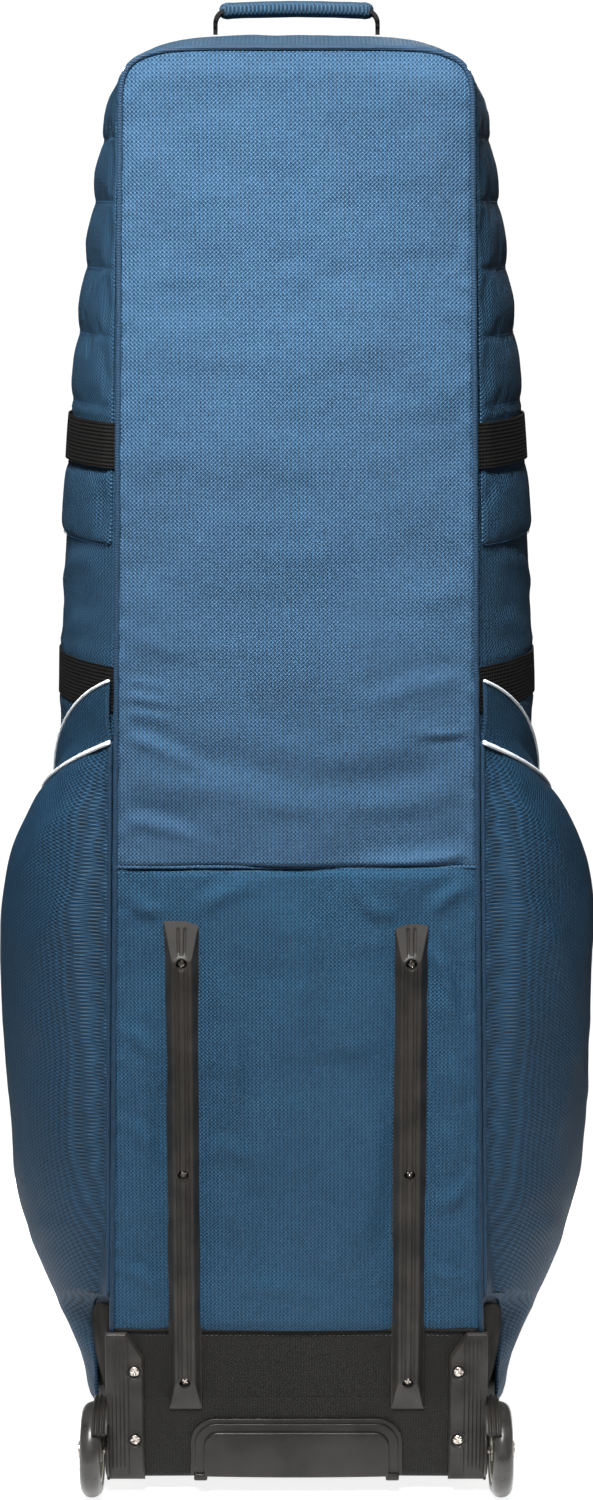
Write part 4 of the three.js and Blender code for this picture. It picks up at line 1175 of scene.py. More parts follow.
def buckle_plug(x0, x1, seam, z):
    """The bar in front of the zip, its two arms, the strap's rod and the two prongs."""
    middle = (x0 + x1) / 2
    parts = []
    plastic_box(parts, (x0, seam + 0.8, z - 20), (x1, seam + 7, z + 20), 1.6)
    for s in (-1, 1):
        low_z, high_z = sorted((z + s * 14, z + s * 20))
        plastic_box(parts, (x0 + 1, seam + 5, low_z), (x1 - 1, seam + 14, high_z), 1.2)
        low_z, high_z = sorted((z + s * 8, z + s * 13.6))
        plastic_box(parts, (middle - 1.7, seam - 12, low_z), (middle + 1.7, seam + 3, high_z), 0.9)
    plastic_box(parts, (x0 + 1.4, seam + 10, z - 18), (x1 - 1.4, seam + 14, z + 18), 1.4)
    return parts


def buckle_tab(name, middle, seam, z, side):
    """The strap's end, from the plug's rod down on to the cover."""
    rim = float(half_width("zip", z)) + 1.0
    ys = seam + np.array([11, 15, 24, 38, 47, 56])
    xs = np.array([middle, middle, middle * 0.55 + rim * 0.45, rim + 2.6, rim + 1.6, rim + 1.2])
    path = resample(xyz(xs, ys, 0), 2.0)
    rows = []
    for height in z + np.linspace(-1, 1, 10) * STRAP_WIDTH / 2:
        rows.append(path + np.array([1.6, 0, height]))
    outer = np.stack(rows, 1)
    inner = outer - np.array([1.7, 0, 0])
    return sharpen(side_sheet(name, outer, inner, side, STRAP))


def buckles():
    """Four buckles: sockets on the case, plugs and strap ends on the cover."""
    for height, z in STRAPS.items():
        for word, side in SIDES.items():
            low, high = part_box(f"buckle_socket_{height}_{word}")
            x0, x1 = low.x * 1000, high.x * 1000
            y0, y1 = low.y * 1000 - BACK_Y, high.y * 1000 - BACK_Y
            socket = merge(f"socket_{height}_{word}", buckle_socket(x0, x1, y0, y1, z, side))
            finish_piece(socket, "case", "buckle_plastic", f"buckle_socket_{height}_{word}")
            plug = merge(f"plug_{height}_{word}", buckle_plug(x0, x1, y1, z))
            finish_piece(plug, "cover", "buckle_plastic", f"buckle_plug_{height}_{word}")
            tab = buckle_tab(f"tab_{height}_{word}", abs(x0 + x1) / 2, y1, z, side)
            finish_piece(tab, "cover", "webbing")


# ---- Base and running gear ----------------------------------------------------------------
def tray_ring():
    """Half of the tray's outline, from the middle of the back round the right to the front."""
    ys = np.linspace(92, ZIP_Y, 12)
    side = wall(t_at(TRAY_TOP), ys)
    corner, radius = 166, 5
    points = [(0, 0), (80, 0), (corner - radius, 0)]
    for a in np.linspace(0.3, PI / 2, 5):
        points.append((corner - radius + radius * math.sin(a), radius - radius * math.cos(a)))
    points += [(corner, 30), (corner, 52), (corner + 2.5, 64), (corner + 9.5, 78)]
    points += [(x - 0.3, y) for x, y in zip(side[:, 0], side[:, 1])]
    for turn in np.linspace(0.1, PI / 2, 26):
        q = cover_point(turn, t_at(TRAY_TOP), 0.3)
        points.append((float(q[0]), float(q[1])))
    return np.array(points)


def tray():
    """The base: a shell with a rolled foot, a floor, and a plate up the back."""
    half = tray_ring()
    ring = np.concatenate([half, half[::-1][1:-1] * np.array([-1, 1])])
    # Each height with how far the wall stands out from the ring there.
    heights = [(BASE_Z, -9), (15.4, -4.5), (17, -1.5), (20, 0), (60, 0.6)]
    heights += [(90, 0), (96, -0.4), (98.2, -1.2), (98.4, -3.6), (90, -4)]
    outward = unit(ring - np.array(TRAY_CENTRE))
    rows = []
    for z, push in heights:
        rows.append(np.concatenate([ring + outward * push, np.full((len(ring), 1), z)], 1))
    outer = np.stack(rows, 1)
    n, m = outer.shape[:2]
    p = outer.reshape(-1, 3)
    floor_inside = np.concatenate([rows[-1][:, :2], np.full((n, 1), TRAY_FLOOR)], 1)
    p = np.concatenate([p, floor_inside])
    faces = list(grid_faces(n, m, wrap=True))
    for i in range(n):
        k = (i + 1) % n
        faces.append([k * m + m - 1, i * m + m - 1, n * m + i, n * m + k][::-1])
    faces.append([i * m for i in range(n)])
    faces.append([n * m + i for i in range(n)][::-1])
    body = sharpen(make_object("tray_body", p, facing_out(p, faces), BASE_CLOTH), 60)
    plate = [(-163, 93), (163, 93), (163, TRAY_BACK_TOP), (-163, TRAY_BACK_TOP)]
    back = extrude_y("tray_back", plate, -0.2, 4, BASE_CLOTH, 1.2)
    finish_piece(merge("base", [body, back]), "case", "tray_plastic", "base_tray")
    x = np.linspace(-134, 134, 80)
    row = xyz(x, -0.5, TRAY_BACK_TOP - 5)
    finish_piece(stitches("base_stitches", row, BLACK_THREAD, (0, -1, 0)), "case", "tray_plastic")
    fold = xyz(x * 1.2, -1.2, TRAY_BACK_TOP + 0.8 + 0.4 * np.sin(x / 37))
    finish_piece(tube("base_seam_roll", fold, 1.5, BASE_CLOTH), "case", "tray_plastic")


def arch(half, bottom, top, radius, bow=0.0):
    """A plate's outline with round upper corners."""
    points = [(x, bottom - bow * (1 - (x / half) ** 2)) for x in np.linspace(-half, half, 15)]
    for side, start in ((1, 0), (-1, PI / 2)):
        for a in np.linspace(start, start + PI / 2, 9):
            x = side * (half - radius) + radius * math.cos(a)
            points.append((x, top - radius + radius * math.sin(a)))
    return points


KICK_STEPS = [
    # (half-width, bottom, top, corner radius), front and rear of the step, rounding
    ((95, 19, 73, 22), -2.6, -0.5, 0.9),
    ((91, 19, 69, 19), -4.8, -2, 1.1),
    ((83, 19.5, 62, 13), -7.8, -2, 2.0),
]


def kick_plate():
    """Three stepped arches and two nubs at the middle of the base."""
    parts = []
    for outline_size, y0, y1, round_by in KICK_STEPS:
        parts.append(extrude_y("step", arch(*outline_size, 1), y0, y1, SATIN, round_by))
    for s in (-1, 1):
        low, high = sorted((s * 92, s * 80))
        parts.append(box_object("nub", (low, -7, 15.5), (high, -1, 22), SATIN, 1.5))
    finish_piece(merge("kick", parts), "case", "trim_plastic", "kick_plate")


def rail_height(x, z):
    """The skid rail's section: a crowned ridge with grooves, ramped at both ends, with recesses."""
    across = np.abs(x)
    slope = (RAIL["foot"] - across) / (RAIL["foot"] - RAIL["crown"])
    body = RAIL_EDGE + (RAIL["height"] - RAIL_EDGE) * smooth(0, 1, np.clip(slope, 0, 1)) ** 0.8
    grooves = sum(smooth(1.0, 0.35, np.abs(across - g)) for g in RAIL_GROOVES) * 0.9
    from_top, from_foot = RAIL["top"] - z, z - RAIL["bottom"]
    grooves = grooves * smooth(30, 34, from_foot) * smooth(34, 38, from_top)
    ramp_top = np.clip(from_top / RAIL["ramp"], 0, 1)
    ramp_low = np.clip(from_foot / (RAIL["ramp"] - 4), 0, 1)
    ramp = np.minimum(ramp_top, ramp_low)
    flare = 1.8 + (RAIL["height"] - 1.8) * ramp
    height = np.minimum(body, np.where(ramp < 1, flare, body)) - grooves * (body > 8)
    slots = smooth(1.2, 0.6, np.abs(across - RAIL_SLOT))
    height = height - 1.1 * slots * smooth(29, 26, from_top) * smooth(5, 8, from_top)
    for screw_z in RAIL_SCREWS:
        r = np.hypot(x, z - screw_z)
        depth = np.where(r < 4.7, RAIL["height"] - 5.5, height)
        lip = 0.5 * bump(r, 6.0, 0.8)
        height = np.minimum(height, depth) + lip * (height > 10)
    return height


def skid_rails():
    """The two rails, with rows of points closer together where they have detail."""
    xs = np.concatenate([[-RAIL["foot"]], np.linspace(-13.8, 13.8, 49), [RAIL["foot"]]])
    zs = set(np.linspace(RAIL["bottom"], RAIL["top"], 120).round(2))
    for screw_z in RAIL_SCREWS:
        zs |= set((screw_z + np.linspace(-7, 7, 25)).round(2))
    zs |= set((RAIL["top"] - np.linspace(0, 40, 42)).round(2))
    zs |= set((RAIL["bottom"] + np.linspace(0, 36, 30)).round(2))
    zs = np.array(sorted(zs))
    zs = zs[np.concatenate([[True], np.diff(zs) > 0.15])]
    xx, zz = np.meshgrid(xs, zs, indexing="ij")
    taper = 1 + 0.1 * smooth(RAIL["top"] - 34, RAIL["top"], zz)
    for word, side in SIDES.items():
        h = rail_height(xx, zz)
        outer = xyz(side * RAIL["x"] + xx * taper, -0.5 - h, zz)
        inner = xyz(side * RAIL["x"] + xx * taper, -0.4, zz)
        rail = sheet(f"rail_{word}", outer, inner, MOULDED)
        finish_piece(sharpen(rail, 38), "case", "trim_plastic", f"skid_rail_{word}")


def screw_head(name, x, y, z, radius, turn):
    """A domed screw head with a cross recess, over its shank."""
    # Each ring's share of the radius and its height.
    rings = [(0.0, -1.9), (0.3, -1.88), (0.62, -1.65), (0.85, -1.2), (0.97, -0.6), (1.0, 0.0)]
    angles = np.arange(32) * 2 * PI / 32
    points = []
    for share, height in rings[1:]:
        for a in angles:
            px, pz = share * radius * math.cos(a), share * radius * math.sin(a)
            cx = px * math.cos(turn) + pz * math.sin(turn)
            cz = pz * math.cos(turn) - px * math.sin(turn)
            in_cross = (abs(cx) < 0.17 * radius or abs(cz) < 0.17 * radius) and share < 0.66
            points.append((x + px, y + height * radius / 3.4 + (0.9 if in_cross else 0), z + pz))
    n = len(angles)
    faces = ring_faces(len(rings) - 1, n, closed_ends=False)
    centre = len(points)
    points.append((x, y - 1.0 * radius / 3.4, z))
    faces += [[centre, (i + 1) % n, i] for i in range(n)]
    last = (len(rings) - 2) * n
    foot = len(points)
    points += [(x + radius * math.cos(a), y + 1.0, z + radius * math.sin(a)) for a in angles]
    faces += [[last + i, last + (i + 1) % n, foot + (i + 1) % n, foot + i] for i in range(n)]
    faces.append([foot + i for i in range(n)])
    return sharpen(make_object(name, points, facing_out(points, faces), STEEL), 50)


def screws():
    """Three screws in each rail and two in each corner guard."""
    names = dict(zip(RAIL_SCREWS, ("lower", "middle", "upper")))
    for word, side in SIDES.items():
        for number, (z, height) in enumerate(names.items()):
            place = (side * RAIL["x"], -8.2, z)
            head = screw_head(f"rail_head_{height}_{word}", *place, 3.5, 0.4 + number + side)
            finish_piece(head, "case", "screw_steel", f"rail_screw_{height}_{word}")
        for z, height in zip(GUARD_SCREWS, ("lower", "upper")):
            place = (side * GUARD["screw_x"], -2.9, z)
            head = screw_head(f"guard_head_{height}_{word}", *place, 4.9, 0.7 + z + side)
            finish_piece(head, "case", "screw_steel", f"guard_screw_{height}_{word}")


def guard_left(z):
    """The guard face's inner edge, which slants outwards near its top."""
    tall, wide = GUARD["slant"]
    return GUARD["inner"] + np.clip((z - (GUARD["top"] - tall)) / tall, 0, 1) * wide


def guard_face_height(x, z):
    """The corner guard's back plate, as a height over the base's cloth, for the right side."""
    edge = np.minimum(np.minimum(x - guard_left(z), GUARD["top"] - z), z - BASE_Z)
    height = 1.2 + 3.6 * smooth(-0.4, 2.6, edge)
    for line in GUARD_RIBS:
        rib = smooth(0.95, 0.4, np.abs(x - line))
        height = height + 1.1 * rib * smooth(26, 30, z) * smooth(151, 147, z)
    groove = smooth(0.9, 0.4, np.abs(x - GUARD["groove"]))
    height = height - 0.9 * groove * smooth(20, 24, z)
    for screw_z in GUARD_SCREWS:
        r = np.hypot(x - GUARD["screw_x"], z - screw_z)
        height = height + 0.8 * bump(r, 7.6, 0.9)
        height = np.where(r < 6.4, 2.4, height)
    return height


def corner_guards():
    """Each guard: a ribbed face, a flange, a cheek for the axle, the fender and the wing."""
    # Rows up the face, closer together where its screws and its ends are.
    zs = [BASE_Z]
    for top, count in ((46, 34), (62, 30), (111, 50), (127, 30), (GUARD["top"], 34)):
        zs += list(np.linspace(zs[-1], top, count)[1:])
    share = np.linspace(0, 1, 60)
    ss, zz = np.meshgrid(share, zs, indexing="ij")
    xx = guard_left(zz) + (GUARD["outer"] - guard_left(zz)) * ss
    h = guard_face_height(xx, zz)
    for word, side in SIDES.items():
        outer, inner = xyz(side * xx, -0.4 - h, zz), xyz(side * xx, -0.35, zz)
        parts = [sharpen(sheet("guard_face", outer, inner, MOULDED), 40)]
        x0, x1 = sorted((side * (GUARD["outer"] - 2.4), side * (GUARD["outer"] + 0.6)))
        parts.append(box_object("flange", (x0, -4.8, BASE_Z), (x1, 7, GUARD["top"] - 1), MOULDED, 1.3))
        y, z = WHEEL["y"], WHEEL["z"]
        cheek = [(0.01, x0), (24, x0), (25.5, x0 + 0.8), (25.5, x1 - 0.8), (24, x1), (0.01, x1)]
        parts.append(lathe_x("cheek", cheek, (0, y, z + 2), MOULDED, 40))
        parts.append(box_object("web", (x0, -3, 44), (x1, 42, 93), MOULDED, 1.2))
        parts.append(fender(side))
        parts.append(wing(side))
        guard = merge(f"guard_{word}", parts)
        finish_piece(guard, "case", "trim_plastic", f"corner_guard_{word}")


def fender(side):
    """The arch over the wheel, with three ribs along it."""
    clear = WHEEL["radius"] + 2.0
    turn = np.linspace(*FENDER_ARC, 40)
    across = np.linspace(0, 1, 30)
    tt, aa = np.meshgrid(turn, across, indexing="ij")
    x = GUARD["outer"] - 2 + aa * FENDER_WIDTH
    ribs = sum(bump(aa, place, 0.075) for place in FENDER_RIBS) * 2.0
    along = (tt - FENDER_ARC[0]) / (FENDER_ARC[1] - FENDER_ARC[0])
    fall = 1.6 * smooth(0.25, 0.0, np.minimum(along, 1 - along))
    r = clear + 2.2 + ribs - fall

    def arc(radius):
        return xyz(side * x, WHEEL["y"] + radius * np.cos(tt), WHEEL["z"] + radius * np.sin(tt))

    return sheet("fender", arc(r), arc(clear), MOULDED)


def wing(side):
    """A leaf of plastic that wraps from the back edge round the side."""
    v = np.linspace(-0.99, 0.99, 40)
    u = np.linspace(0, 1, 24)
    uu, vv = np.meshgrid(u, v, indexing="ij")
    y = 2.5 + uu * (4 + (WING["reach"] - 4) * (1 - vv**2) ** 0.8)
    z = WING["z"] + WING["half"] * vv
    crown = 0.8 * np.sin(PI * uu) + 1.0 * bump(uu, 0.86, 0.08)
    outer = off_wall(t_at(z), y, 3.4 + crown)
    inner = off_wall(t_at(z), y, 1.0)
    return side_sheet("wing", outer, inner, side, MATT_BLACK)


def tyre(name, centre):
    """A solid tyre with a round tread and stepped walls."""
    r, half = WHEEL["radius"], WHEEL["half"]
    widest = 1.35
    turn = np.linspace(-widest, widest, 21)
    tread = [(r - 9 + 9 * math.cos(a), (half - 0.6) * math.sin(a) / math.sin(widest)) for a in turn]
    profile = [(30.2, -half + 3), (32.5, -half + 1)] + tread + [(32.5, half - 1), (30.2, half - 3)]
    return lathe_x(name, profile, centre, RUBBER, 72)


def both_ways(profile):
    """A profile of (radius, x) closed by its own reflection in x."""
    return profile + [(radius, -x) for radius, x in reversed(profile)]


def hub(name, centre):
    """A rim, a boss and a thin web between them, with six spokes."""
    rim = both_ways([(25, -7), (26, -8), (29, -8.2), (30, -7.4)])
    boss = both_ways([(4.3, -9.4), (9.4, -9.4), (10.6, -8.4), (11.2, -5)])
    web = [(10.5, -1.6), (25.6, -1.3), (25.6, 1.3), (10.5, 1.6)]
    parts = [
        lathe_x("rim", rim, centre, HUB, 64),
        lathe_x("boss", boss, centre, HUB, 48),
        lathe_x("web", web, centre, HUB, 48),
    ]
    parts += [spoke(centre, number * PI / 3 + 0.3) for number in range(6)]
    return sharpen(merge(name, parts), 40)


def axle_bolt(name, centre, side):
    """A shank through the wheel and a round head with a socket."""
    shank = [(0.01, -30), (4, -30), (4, 10.4), (0.01, 10.4)]
    head = [(0.01, 10), (7.2, 10), (7.5, 10.5), (7.5, 12.4)]
    head += [(6.2, 13.4), (3.4, 13.4), (3.0, 12.0), (0.01, 12.0)]
    parts = []
    for profile, segments in ((shank, 24), (head, 36)):
        profile = [(radius, side * x) for radius, x in profile]
        parts.append(lathe_x("turned", profile, centre, STEEL, segments))
    return sharpen(merge(name, parts), 40)


def wheels():
    """Each wheel's tyre and hub, which turn, and its bolt, which doesn't."""
    for word, side in SIDES.items():
        centre = (side * WHEEL["x"], WHEEL["y"], WHEEL["z"])
        body = f"wheel_{word}"
        finish_piece(tyre(f"tyre_ring_{word}", centre), body, "tyre", f"tyre_{word}")
        finish_piece(hub(f"hub_wheel_{word}", centre), body, "hub", f"hub_{word}")
        bolt = axle_bolt(f"axle_{word}", centre, side)
        finish_piece(bolt, "case", "screw_steel", f"axle_bolt_{word}")


def spoke(centre, angle):
    """One web between hub and rim, a bar that narrows outwards."""
    direction = np.array([0, math.cos(angle), math.sin(angle)])
    sideways = np.array([0, -math.sin(angle), math.cos(angle)])
    points = []
    for reach, width in ((10, 2.6), (25.8, 1.9)):
        for x in (-6.2, 6.2):
            for s in (-1, 1):
                corner = np.array(centre) + direction * reach + sideways * width * s
                points.append(corner + np.array([x, 0, 0]))
    return bevel(make_object("spoke", points, facing_out(points, BOX_FACES), HUB), 0.8)


def front_feet():
    """Two round rubber feet under the front."""
    for word, side in SIDES.items():
        profile = [(12.5, 0.0), (13.6, 0.5), (14, 1.4), (15.4, 8), (17, 12.5), (17, 14.3)]
        angles = np.arange(40) * 2 * PI / 40
        points = []
        for radius, height in profile:
            for a in angles:
                x, y = side * FOOT_X + radius * math.cos(a), FOOT_Y + radius * math.sin(a)
                points.append((x, y, height))
        faces = ring_faces(len(profile), len(angles))
        foot = sharpen(make_object(f"foot_{word}", points, faces, RUBBER), 50)
        finish_piece(foot, "case", "trim_plastic", f"front_foot_{word}")


# ---- Front cover and its zip --------------------------------------------------------------
def cover_surface(turn, t, rise):
    """The cover's surface moved out along its own normal."""
    p = cover_point(turn, t)
    du = cover_point(np.clip(turn + 1e-3, 0, PI), t) - cover_point(np.clip(turn - 1e-3, 0, PI), t)
    dt = cover_point(turn, np.minimum(t + 1e-3, 1)) - cover_point(turn, t - 1e-3)
    n = np.cross(du, dt)
    length = np.linalg.norm(n, axis=-1, keepdims=True)
    fallback = unit(p - np.array([0, 165.0, 700.0]))
    n = np.where(length > 1e-9, n / np.maximum(length, 1e-12), fallback)
    sign = np.sign(np.sum(n * fallback, -1, keepdims=True))
    return p + n * sign * np.asarray(rise, float)[..., None]


def front_cover():
    """The deep cover, with a groove and a piping round its front edge."""
    rows = t_rows(TRAY_TOP + 1.2, 120, 1, 26)
    turn, t = np.meshgrid(np.linspace(0, PI, 150), rows, indexing="ij")
    p = cover_point(turn, t)
    waves = 1.8 * rumple(p, (90, 90, 90), 121) + 0.9 * rumple(p, (34, 34, 30), 122)
    edge = np.minimum(turn, PI - turn) * 90
    low = smooth(0, 30, p[..., 2] - TRAY_TOP)
    rim_line = np.abs(np.minimum(turn, PI - turn) - COVER_PIPING_TURN)
    groove = 2.2 * bump(rim_line, 0, 0.03)
    rise = 0.4 + (1.6 + waves) * smooth(0, 20, edge) * (0.3 + 0.7 * low) - groove
    fade = smooth(1.0, 0.97, t)
    outer = cover_surface(turn, t, rise * fade + 0.5)
    inner = cover_point(turn, t, 4.0)
    cover = sheet("cover_shell", outer, inner, FRONT_CLOTH, LINING, top_rim=False)
    weld(cover)
    finish_piece(cover, "cover", "cover_cloth", "front_cover")
    t_line = t_rows(TRAY_TOP + 3, 90, 0.985, 40)
    for word, turn_at in (("right", COVER_PIPING_TURN), ("left", PI - COVER_PIPING_TURN)):
        line = cover_surface(turn_at, t_line, 1.2)
        finish_piece(tube(f"cover_piping_{word}", line, 2.4, PIPING, 10), "cover", "piping")


def weld(obj):
    """Closes the seam where the cover's grid meets itself at the top."""
    work = bmesh.new()
    work.from_mesh(obj.data)
    bmesh.ops.remove_doubles(work, verts=work.verts, dist=2e-5)
    bmesh.ops.dissolve_degenerate(work, edges=work.edges, dist=1e-6)
    work.to_mesh(obj.data)
    work.free()
    obj.data.update()


def front_pocket():
    """A flat pouch on the cover's face, with piping round it and a zip across its top."""
    share = np.linspace(-1, 1, 70)
    up = np.linspace(0, 1, 90)
    ss, vv = np.meshgrid(share, up, indexing="ij")
    half, bottom, height = POUCH["half"], POUCH["bottom"], POUCH["height"]
    x = half * ss * (1 - POUCH["narrowing"] * vv)
    z = bottom + height * vv
    edge = np.minimum(half * (1 - np.abs(ss)), height * np.minimum(vv, 1 - vv))
    base = xyz(x, front_y(x, z), z)
    waves = 1.6 * rumple(base, (60, 60, 60), 131) + 0.8 * rumple(base, (24, 24, 24), 132)
    rise = 2.6 + 9.0 * smooth(0, 46, edge) * (1 - 0.3 * vv) + waves * smooth(0, 20, edge)
    outer = base + np.array([0, 1, 0]) * rise[..., None]
    inner = base + np.array([0, 1, 0]) * 0.6
    pouch = sheet("front_pouch", outer, inner, FRONT_CLOTH)
    finish_piece(pouch, "cover", "cover_cloth")
    top_half, top = half * (1 - POUCH["narrowing"]), bottom + height
    border = [(-half, bottom), (half, bottom), (top_half, top), (-top_half, top), (-half, bottom)]
    path = resample([(a, 0, b) for a, b in border], 6)
    path[:, 1] = front_y(path[:, 0], path[:, 2]) + 2.4
    finish_piece(tube("front_pouch_piping", path, 2.3, PIPING, 10), "cover", "piping")
    xs = np.linspace(-112, 112, 60)
    line = xyz(xs, front_y(xs, POUCH["zip"]) + 8.4, POUCH["zip"])
    ribbon(line, "front_zip", "cover")


def front_y(x, z):
    """How far forward the cover's face is at a point."""
    half = half_width("zip", np.minimum(z, CORNER_Z))
    share = np.clip(np.abs(x) / half, 0, 0.999)
    return ZIP_Y + ZIP_GAP + COVER_DEPTH * (1 - share**4) ** 0.25 + 1.4


def ribbon(line, name, body):
    """A closed zip along a line on the cover's face: two tapes and a row of teeth."""
    tape = tube_strip(line, 9.0, 1.0)
    finish_piece(make_object(f"{name}_tape", *tape, ZIP_TAPE), body, "zip_metal")
    spots = resample(line, 2.9)
    teeth = teeth_mesh(spots, (0, 1, 0), 2.6, 1.5)
    finish_piece(make_object(f"{name}_teeth", *teeth, ZIP_METAL, smooth_faces=False), body, "zip_metal")


def tube_strip(line, half, thick):
    """A flat strip of tape along a line on the cover's face."""
    up, out = np.array([0, 0, half]), np.array([0, thick, 0])
    p = np.stack([line - up, line - up + out, line + up + out, line + up], 1)
    p = p.reshape(-1, 3)
    return p, facing_out(p, ring_faces(len(line), 4))


def teeth_mesh(spots, out, half, high):
    """Small blocks along a row, each crossing it."""
    ahead = unit(np.gradient(spots, axis=0))
    out = np.broadcast_to(np.asarray(out, float), spots.shape)
    across = unit(np.cross(ahead, out))
    points, faces = [], []
    for c, a, b, o in zip(spots, ahead, across, out):
        base = len(points)
        for forward, sideways, up in itertools.product((-1, 1), (-1, 1), (0, 1)):
            corner = c + a * 0.85 * forward + o * high * up
            points.append(corner + b * half * sideways * (1 - 0.25 * up))
        box = BOX_FACES
        if np.dot(np.cross(a, b), o) < 0:
            box = [f[::-1] for f in box]
        faces += [[base + i for i in f] for f in box]
    return points, faces


def zip_edge(y):
    """Points round the zip from the base on the right over the top to the left, and outwards."""
    t = t_rows(TRAY_TOP + 6, 260, 1, 90)
    x, z = outline("zip", t)
    dx, dz = np.gradient(x), np.gradient(z)
    length = np.hypot(dx, dz)
    out = xyz(dz / length, 0, -dx / length)
    return tuple(np.concatenate([rows, mirror_x(rows[::-1][1:], -1)]) for rows in (xyz(x, y, z), out))


def main_zip():
    """The main zip's two halves: a tape and a row of teeth on the case and on the cover."""
    for body, sign in (("case", -1), ("cover", 1)):
        path, out = zip_edge(ZIP_Y)
        near = path + np.array([0, sign * 0.25, 0]) - out * 1.8
        far = path + np.array([0, sign * 6.0, 0]) - out * 0.4
        outer = np.stack([near, far], 1) + out[:, None] * 0.7
        inner = np.stack([near, far], 1) - out[:, None] * 0.3
        tape = sheet(f"zip_tape_{body}", outer, inner, ZIP_TAPE)
        finish_piece(tape, body, "zip_metal")
        spots = resample(path + np.array([0, sign * 1.3, 0]) - out * 1.1, 3.3)
        points, faces = teeth_mesh(spots, spread(out, len(spots)), 1.0, 1.6)
        teeth = make_object(f"zip_teeth_{body}", points, faces, ZIP_METAL, smooth_faces=False)
        finish_piece(teeth, body, "zip_metal")


def zip_slider(node, body):
    """A rounded slider in its CAD node's place: plate, two cheeks, lip and a bar for the pull."""
    low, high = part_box(node)
    side = -1 if low.x < 0 else 1
    inner = (high.x if side < 0 else low.x) * 1000
    y = (low.y + high.y) * 500 - BACK_Y
    z = (low.z + high.z) * 500
    # Two corners and a rounding each, as (out from the wall, along y, up).
    boxes = [((0, -4.6, -7), (3.8, 4.6, 7), 1.3)]
    boxes += [((2.5, -5.2, -0.6), (9.4, -3.9, 4.6), 0.6), ((2.5, 3.9, -0.6), (9.4, 5.2, 4.6), 0.6)]
    boxes += [((2.4, -5.1, -0.6), (3.9, 5.1, 4.6), 0.5), ((6.2, -4.4, 1.2), (7.8, 4.4, 2.8), 0.5)]
    parts = []
    for a, b, round_by in boxes:
        x0, x1 = sorted((inner + side * a[0], inner + side * b[0]))
        low_corner, high_corner = (x0, y + a[1], z + a[2]), (x1, y + b[1], z + b[2])
        parts.append(box_object("part", low_corner, high_corner, ZIP_METAL, round_by))
    finish_piece(merge(f"{node}_body", parts), body, "zip_metal", node)


def zip_pull(node, body):
    """A pull in its CAD node's place: a tag with three grip bars, hung by a small frame."""
    low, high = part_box(node)
    middle = (low.x + high.x) * 500
    y0, z0 = low.y * 1000 - BACK_Y, low.z * 1000
    y1, z1 = high.y * 1000 - BACK_Y, high.z * 1000
    parts = []
    plastic_box(parts, (middle - 1.2, y0, z0), (middle + 1.2, y1, z1 - 6), 0.9)
    for a, b in ((y0 + 0.1, y0 + 1.5), (y1 - 1.5, y1 - 0.1)):
        plastic_box(parts, (middle - 1.1, a, z1 - 7), (middle + 1.1, b, z1 - 1.2), 0.4)
    plastic_box(parts, (middle - 1.1, y0 + 0.1, z1 - 1.2), (middle + 1.1, y1 - 0.1, z1), 0.4)
    for k in range(3):
        at = z0 + 2.5 + 2.6 * k
        plastic_box(parts, (middle - 1.6, y0 + 0.8, at), (middle + 1.6, y1 - 0.8, at + 1.1), 0.4)
    finish_piece(merge(f"{node}_tag", parts), body, "pull_plastic", node)


def zip_hardware():
    """Two sliders on the main zip, one on each pocket, and a pull on each."""
    for height in ("lower", "upper"):
        zip_slider(f"zip_slider_{height}", f"slider_{height}")
    for word in SIDES:
        zip_slider(f"pocket_slider_{word}", "case")
    for height in ("lower", "upper"):
        zip_pull(f"zip_pull_{height}", f"pull_{height}")
    for word in SIDES:
        zip_pull(f"pocket_pull_{word}", f"pocket_pull_{word}")


def handle_loop():
    """The webbing loop, up one leg, over the crown and down the other."""
    y, half, pivot, crown = HANDLE["y"], HANDLE["half"], HANDLE["pivot"], HANDLE["crown"]
    inset, bend, half_web = LOOP["inset"], LOOP["bend"], LOOP["half"]
    points = [(half - inset, pivot - 6), (half - inset, crown - bend - inset)]
    for a in np.linspace(0.1, PI / 2, 10):
        x = half - inset - bend + bend * math.cos(a)
        z = crown - inset - bend + bend * math.sin(a)
        points.append((x, z))
    xs = np.linspace(half - 14, 0, 14)
    points += [(x, crown - inset + CROWN_RISE * (1 - (x / (half - 12)) ** 2)) for x in xs]
    path = np.array([(x, 0, z) for x, z in points])
    path = np.concatenate([path, mirror_x(path[::-1][1:], -1)])
    path = resample(path, 2.2)
    ahead = unit(np.gradient(path, axis=0))
    out = np.cross(ahead, np.array([0.0, 1.0, 0.0]))
    out *= np.sign(np.sum(out * (path - np.array([0, 0, 1255.0])), -1, keepdims=True))
    widths = np.linspace(-1, 1, 9) * half_web
    bow = 0.5 * (1 - (widths / half_web) ** 2)
    end = 0.42 + 0.58 * smooth(pivot - 6, pivot + 8, path[:, 2])
    sideways = np.array([0, 1, 0]) * (widths[None, :] * end[:, None])[..., None]
    outer = path[:, None] + out[:, None] * (1.6 + bow)[None, :, None] + sideways
    inner = path[:, None] - out[:, None] * 1.5 + sideways
    outer[..., 1] += y
    inner[..., 1] += y
    strap = sharpen(sheet("handle_loop", outer, inner, HANDLE_WEBBING), 50)
    finish_piece(strap, "handle", "webbing", "handle_strap")


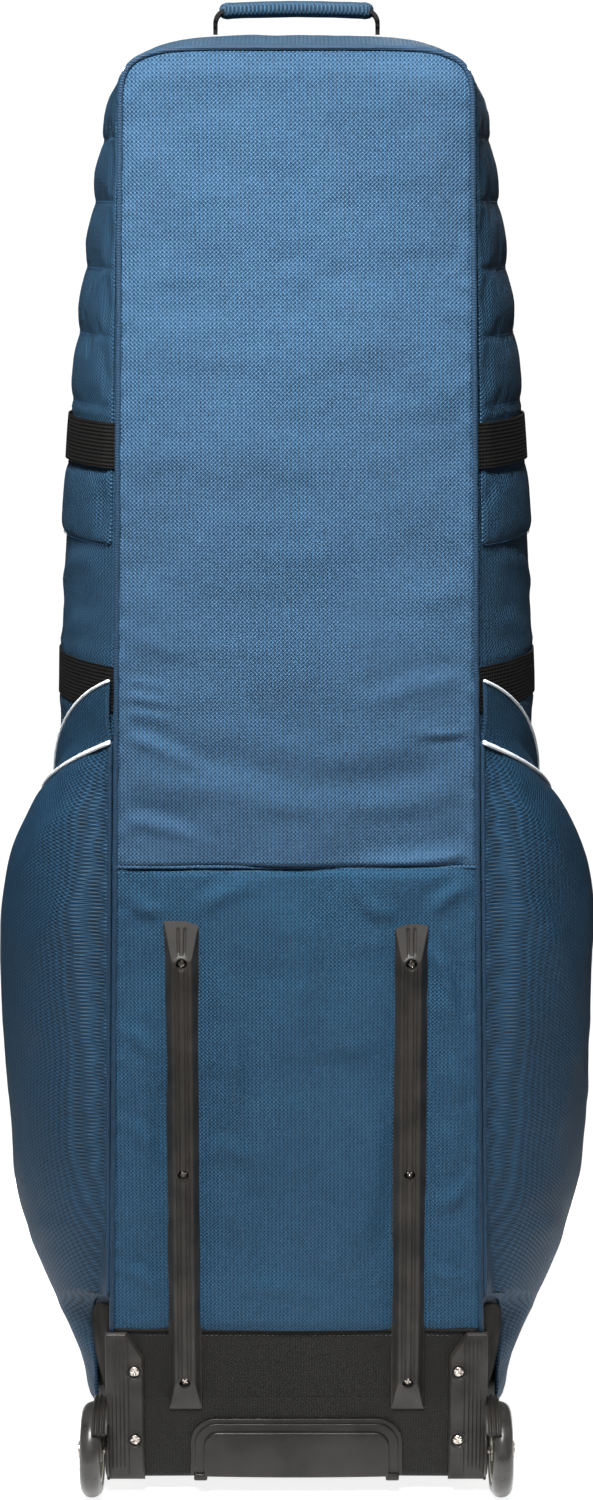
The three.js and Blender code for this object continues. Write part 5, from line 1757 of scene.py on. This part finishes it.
def handle_grip():
    """The padded wrap round the middle of the loop, and its two rows of stitches."""
    y, crown, grip = HANDLE["y"], HANDLE["crown"], HANDLE["grip"]
    xs = np.concatenate([[-grip - 3], np.linspace(-grip - 2, grip + 2, 74), [grip + 3]])
    turn = np.arange(40) * 2 * PI / 40
    rise = CROWN_RISE * (1 - (xs / grip) ** 2)
    end = np.sqrt(np.clip(1 - (np.abs(xs) / (grip + 3.4)) ** 30, 0.0, 1))
    xx, aa = np.meshgrid(xs, turn, indexing="ij")
    c, s = np.cos(aa), np.sin(aa)
    radius_y, radius_z = 12.2, 6.6
    reach = rounded_reach(c, s, 2.6)
    middle_z = crown - LOOP["inset"] + rise[:, None]
    p = xyz(xx, y + radius_y * reach * c, middle_z + radius_z * reach * s)
    wrinkle = 0.35 * rumple(p, (16, 12, 12), 151) + 0.5 * bump(np.abs(xx), grip - 4, 2.0)
    shrink = (end[:, None] * (1 + wrinkle / 9))[..., None]
    axis = xyz(xx, y, middle_z)
    p = axis + (p - axis) * shrink
    n, m = p.shape[:2]
    flat = p.reshape(-1, 3)
    wrap = make_object("handle_wrap", flat, facing_out(flat, ring_faces(n, m)), TOP_CLOTH)
    finish_piece(wrap, "handle", "handle_cloth", "handle_grip")
    for number, side_y in enumerate((-1, 1)):
        xs = np.linspace(-grip + 3, grip - 3, 50)
        row = xyz(xs, y + side_y * 8.0, crown + 3.3 + CROWN_RISE * (1 - (xs / grip) ** 2))
        thread = stitches(f"handle_stitches_{number}", row, THREAD, (0, 0, 1))
        finish_piece(thread, "handle", "handle_cloth")


def inner_board():
    """The stiff board keeps its CAD shape, with a moulded grain."""
    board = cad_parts["back_board"]
    board.data.materials.clear()
    board.data.materials.append(MOULDED)


build_camera()
build_floor()
build_backdrop()
build_lamps()
back_panels()
back_welts()
side_walls()
top_band()
quilted_pads()
pockets()
straps()
buckles()
tray()
kick_plate()
skid_rails()
screws()
corner_guards()
wheels()
front_feet()
front_cover()
front_pocket()
main_zip()
zip_hardware()
handle_loop()
handle_grip()
inner_board()
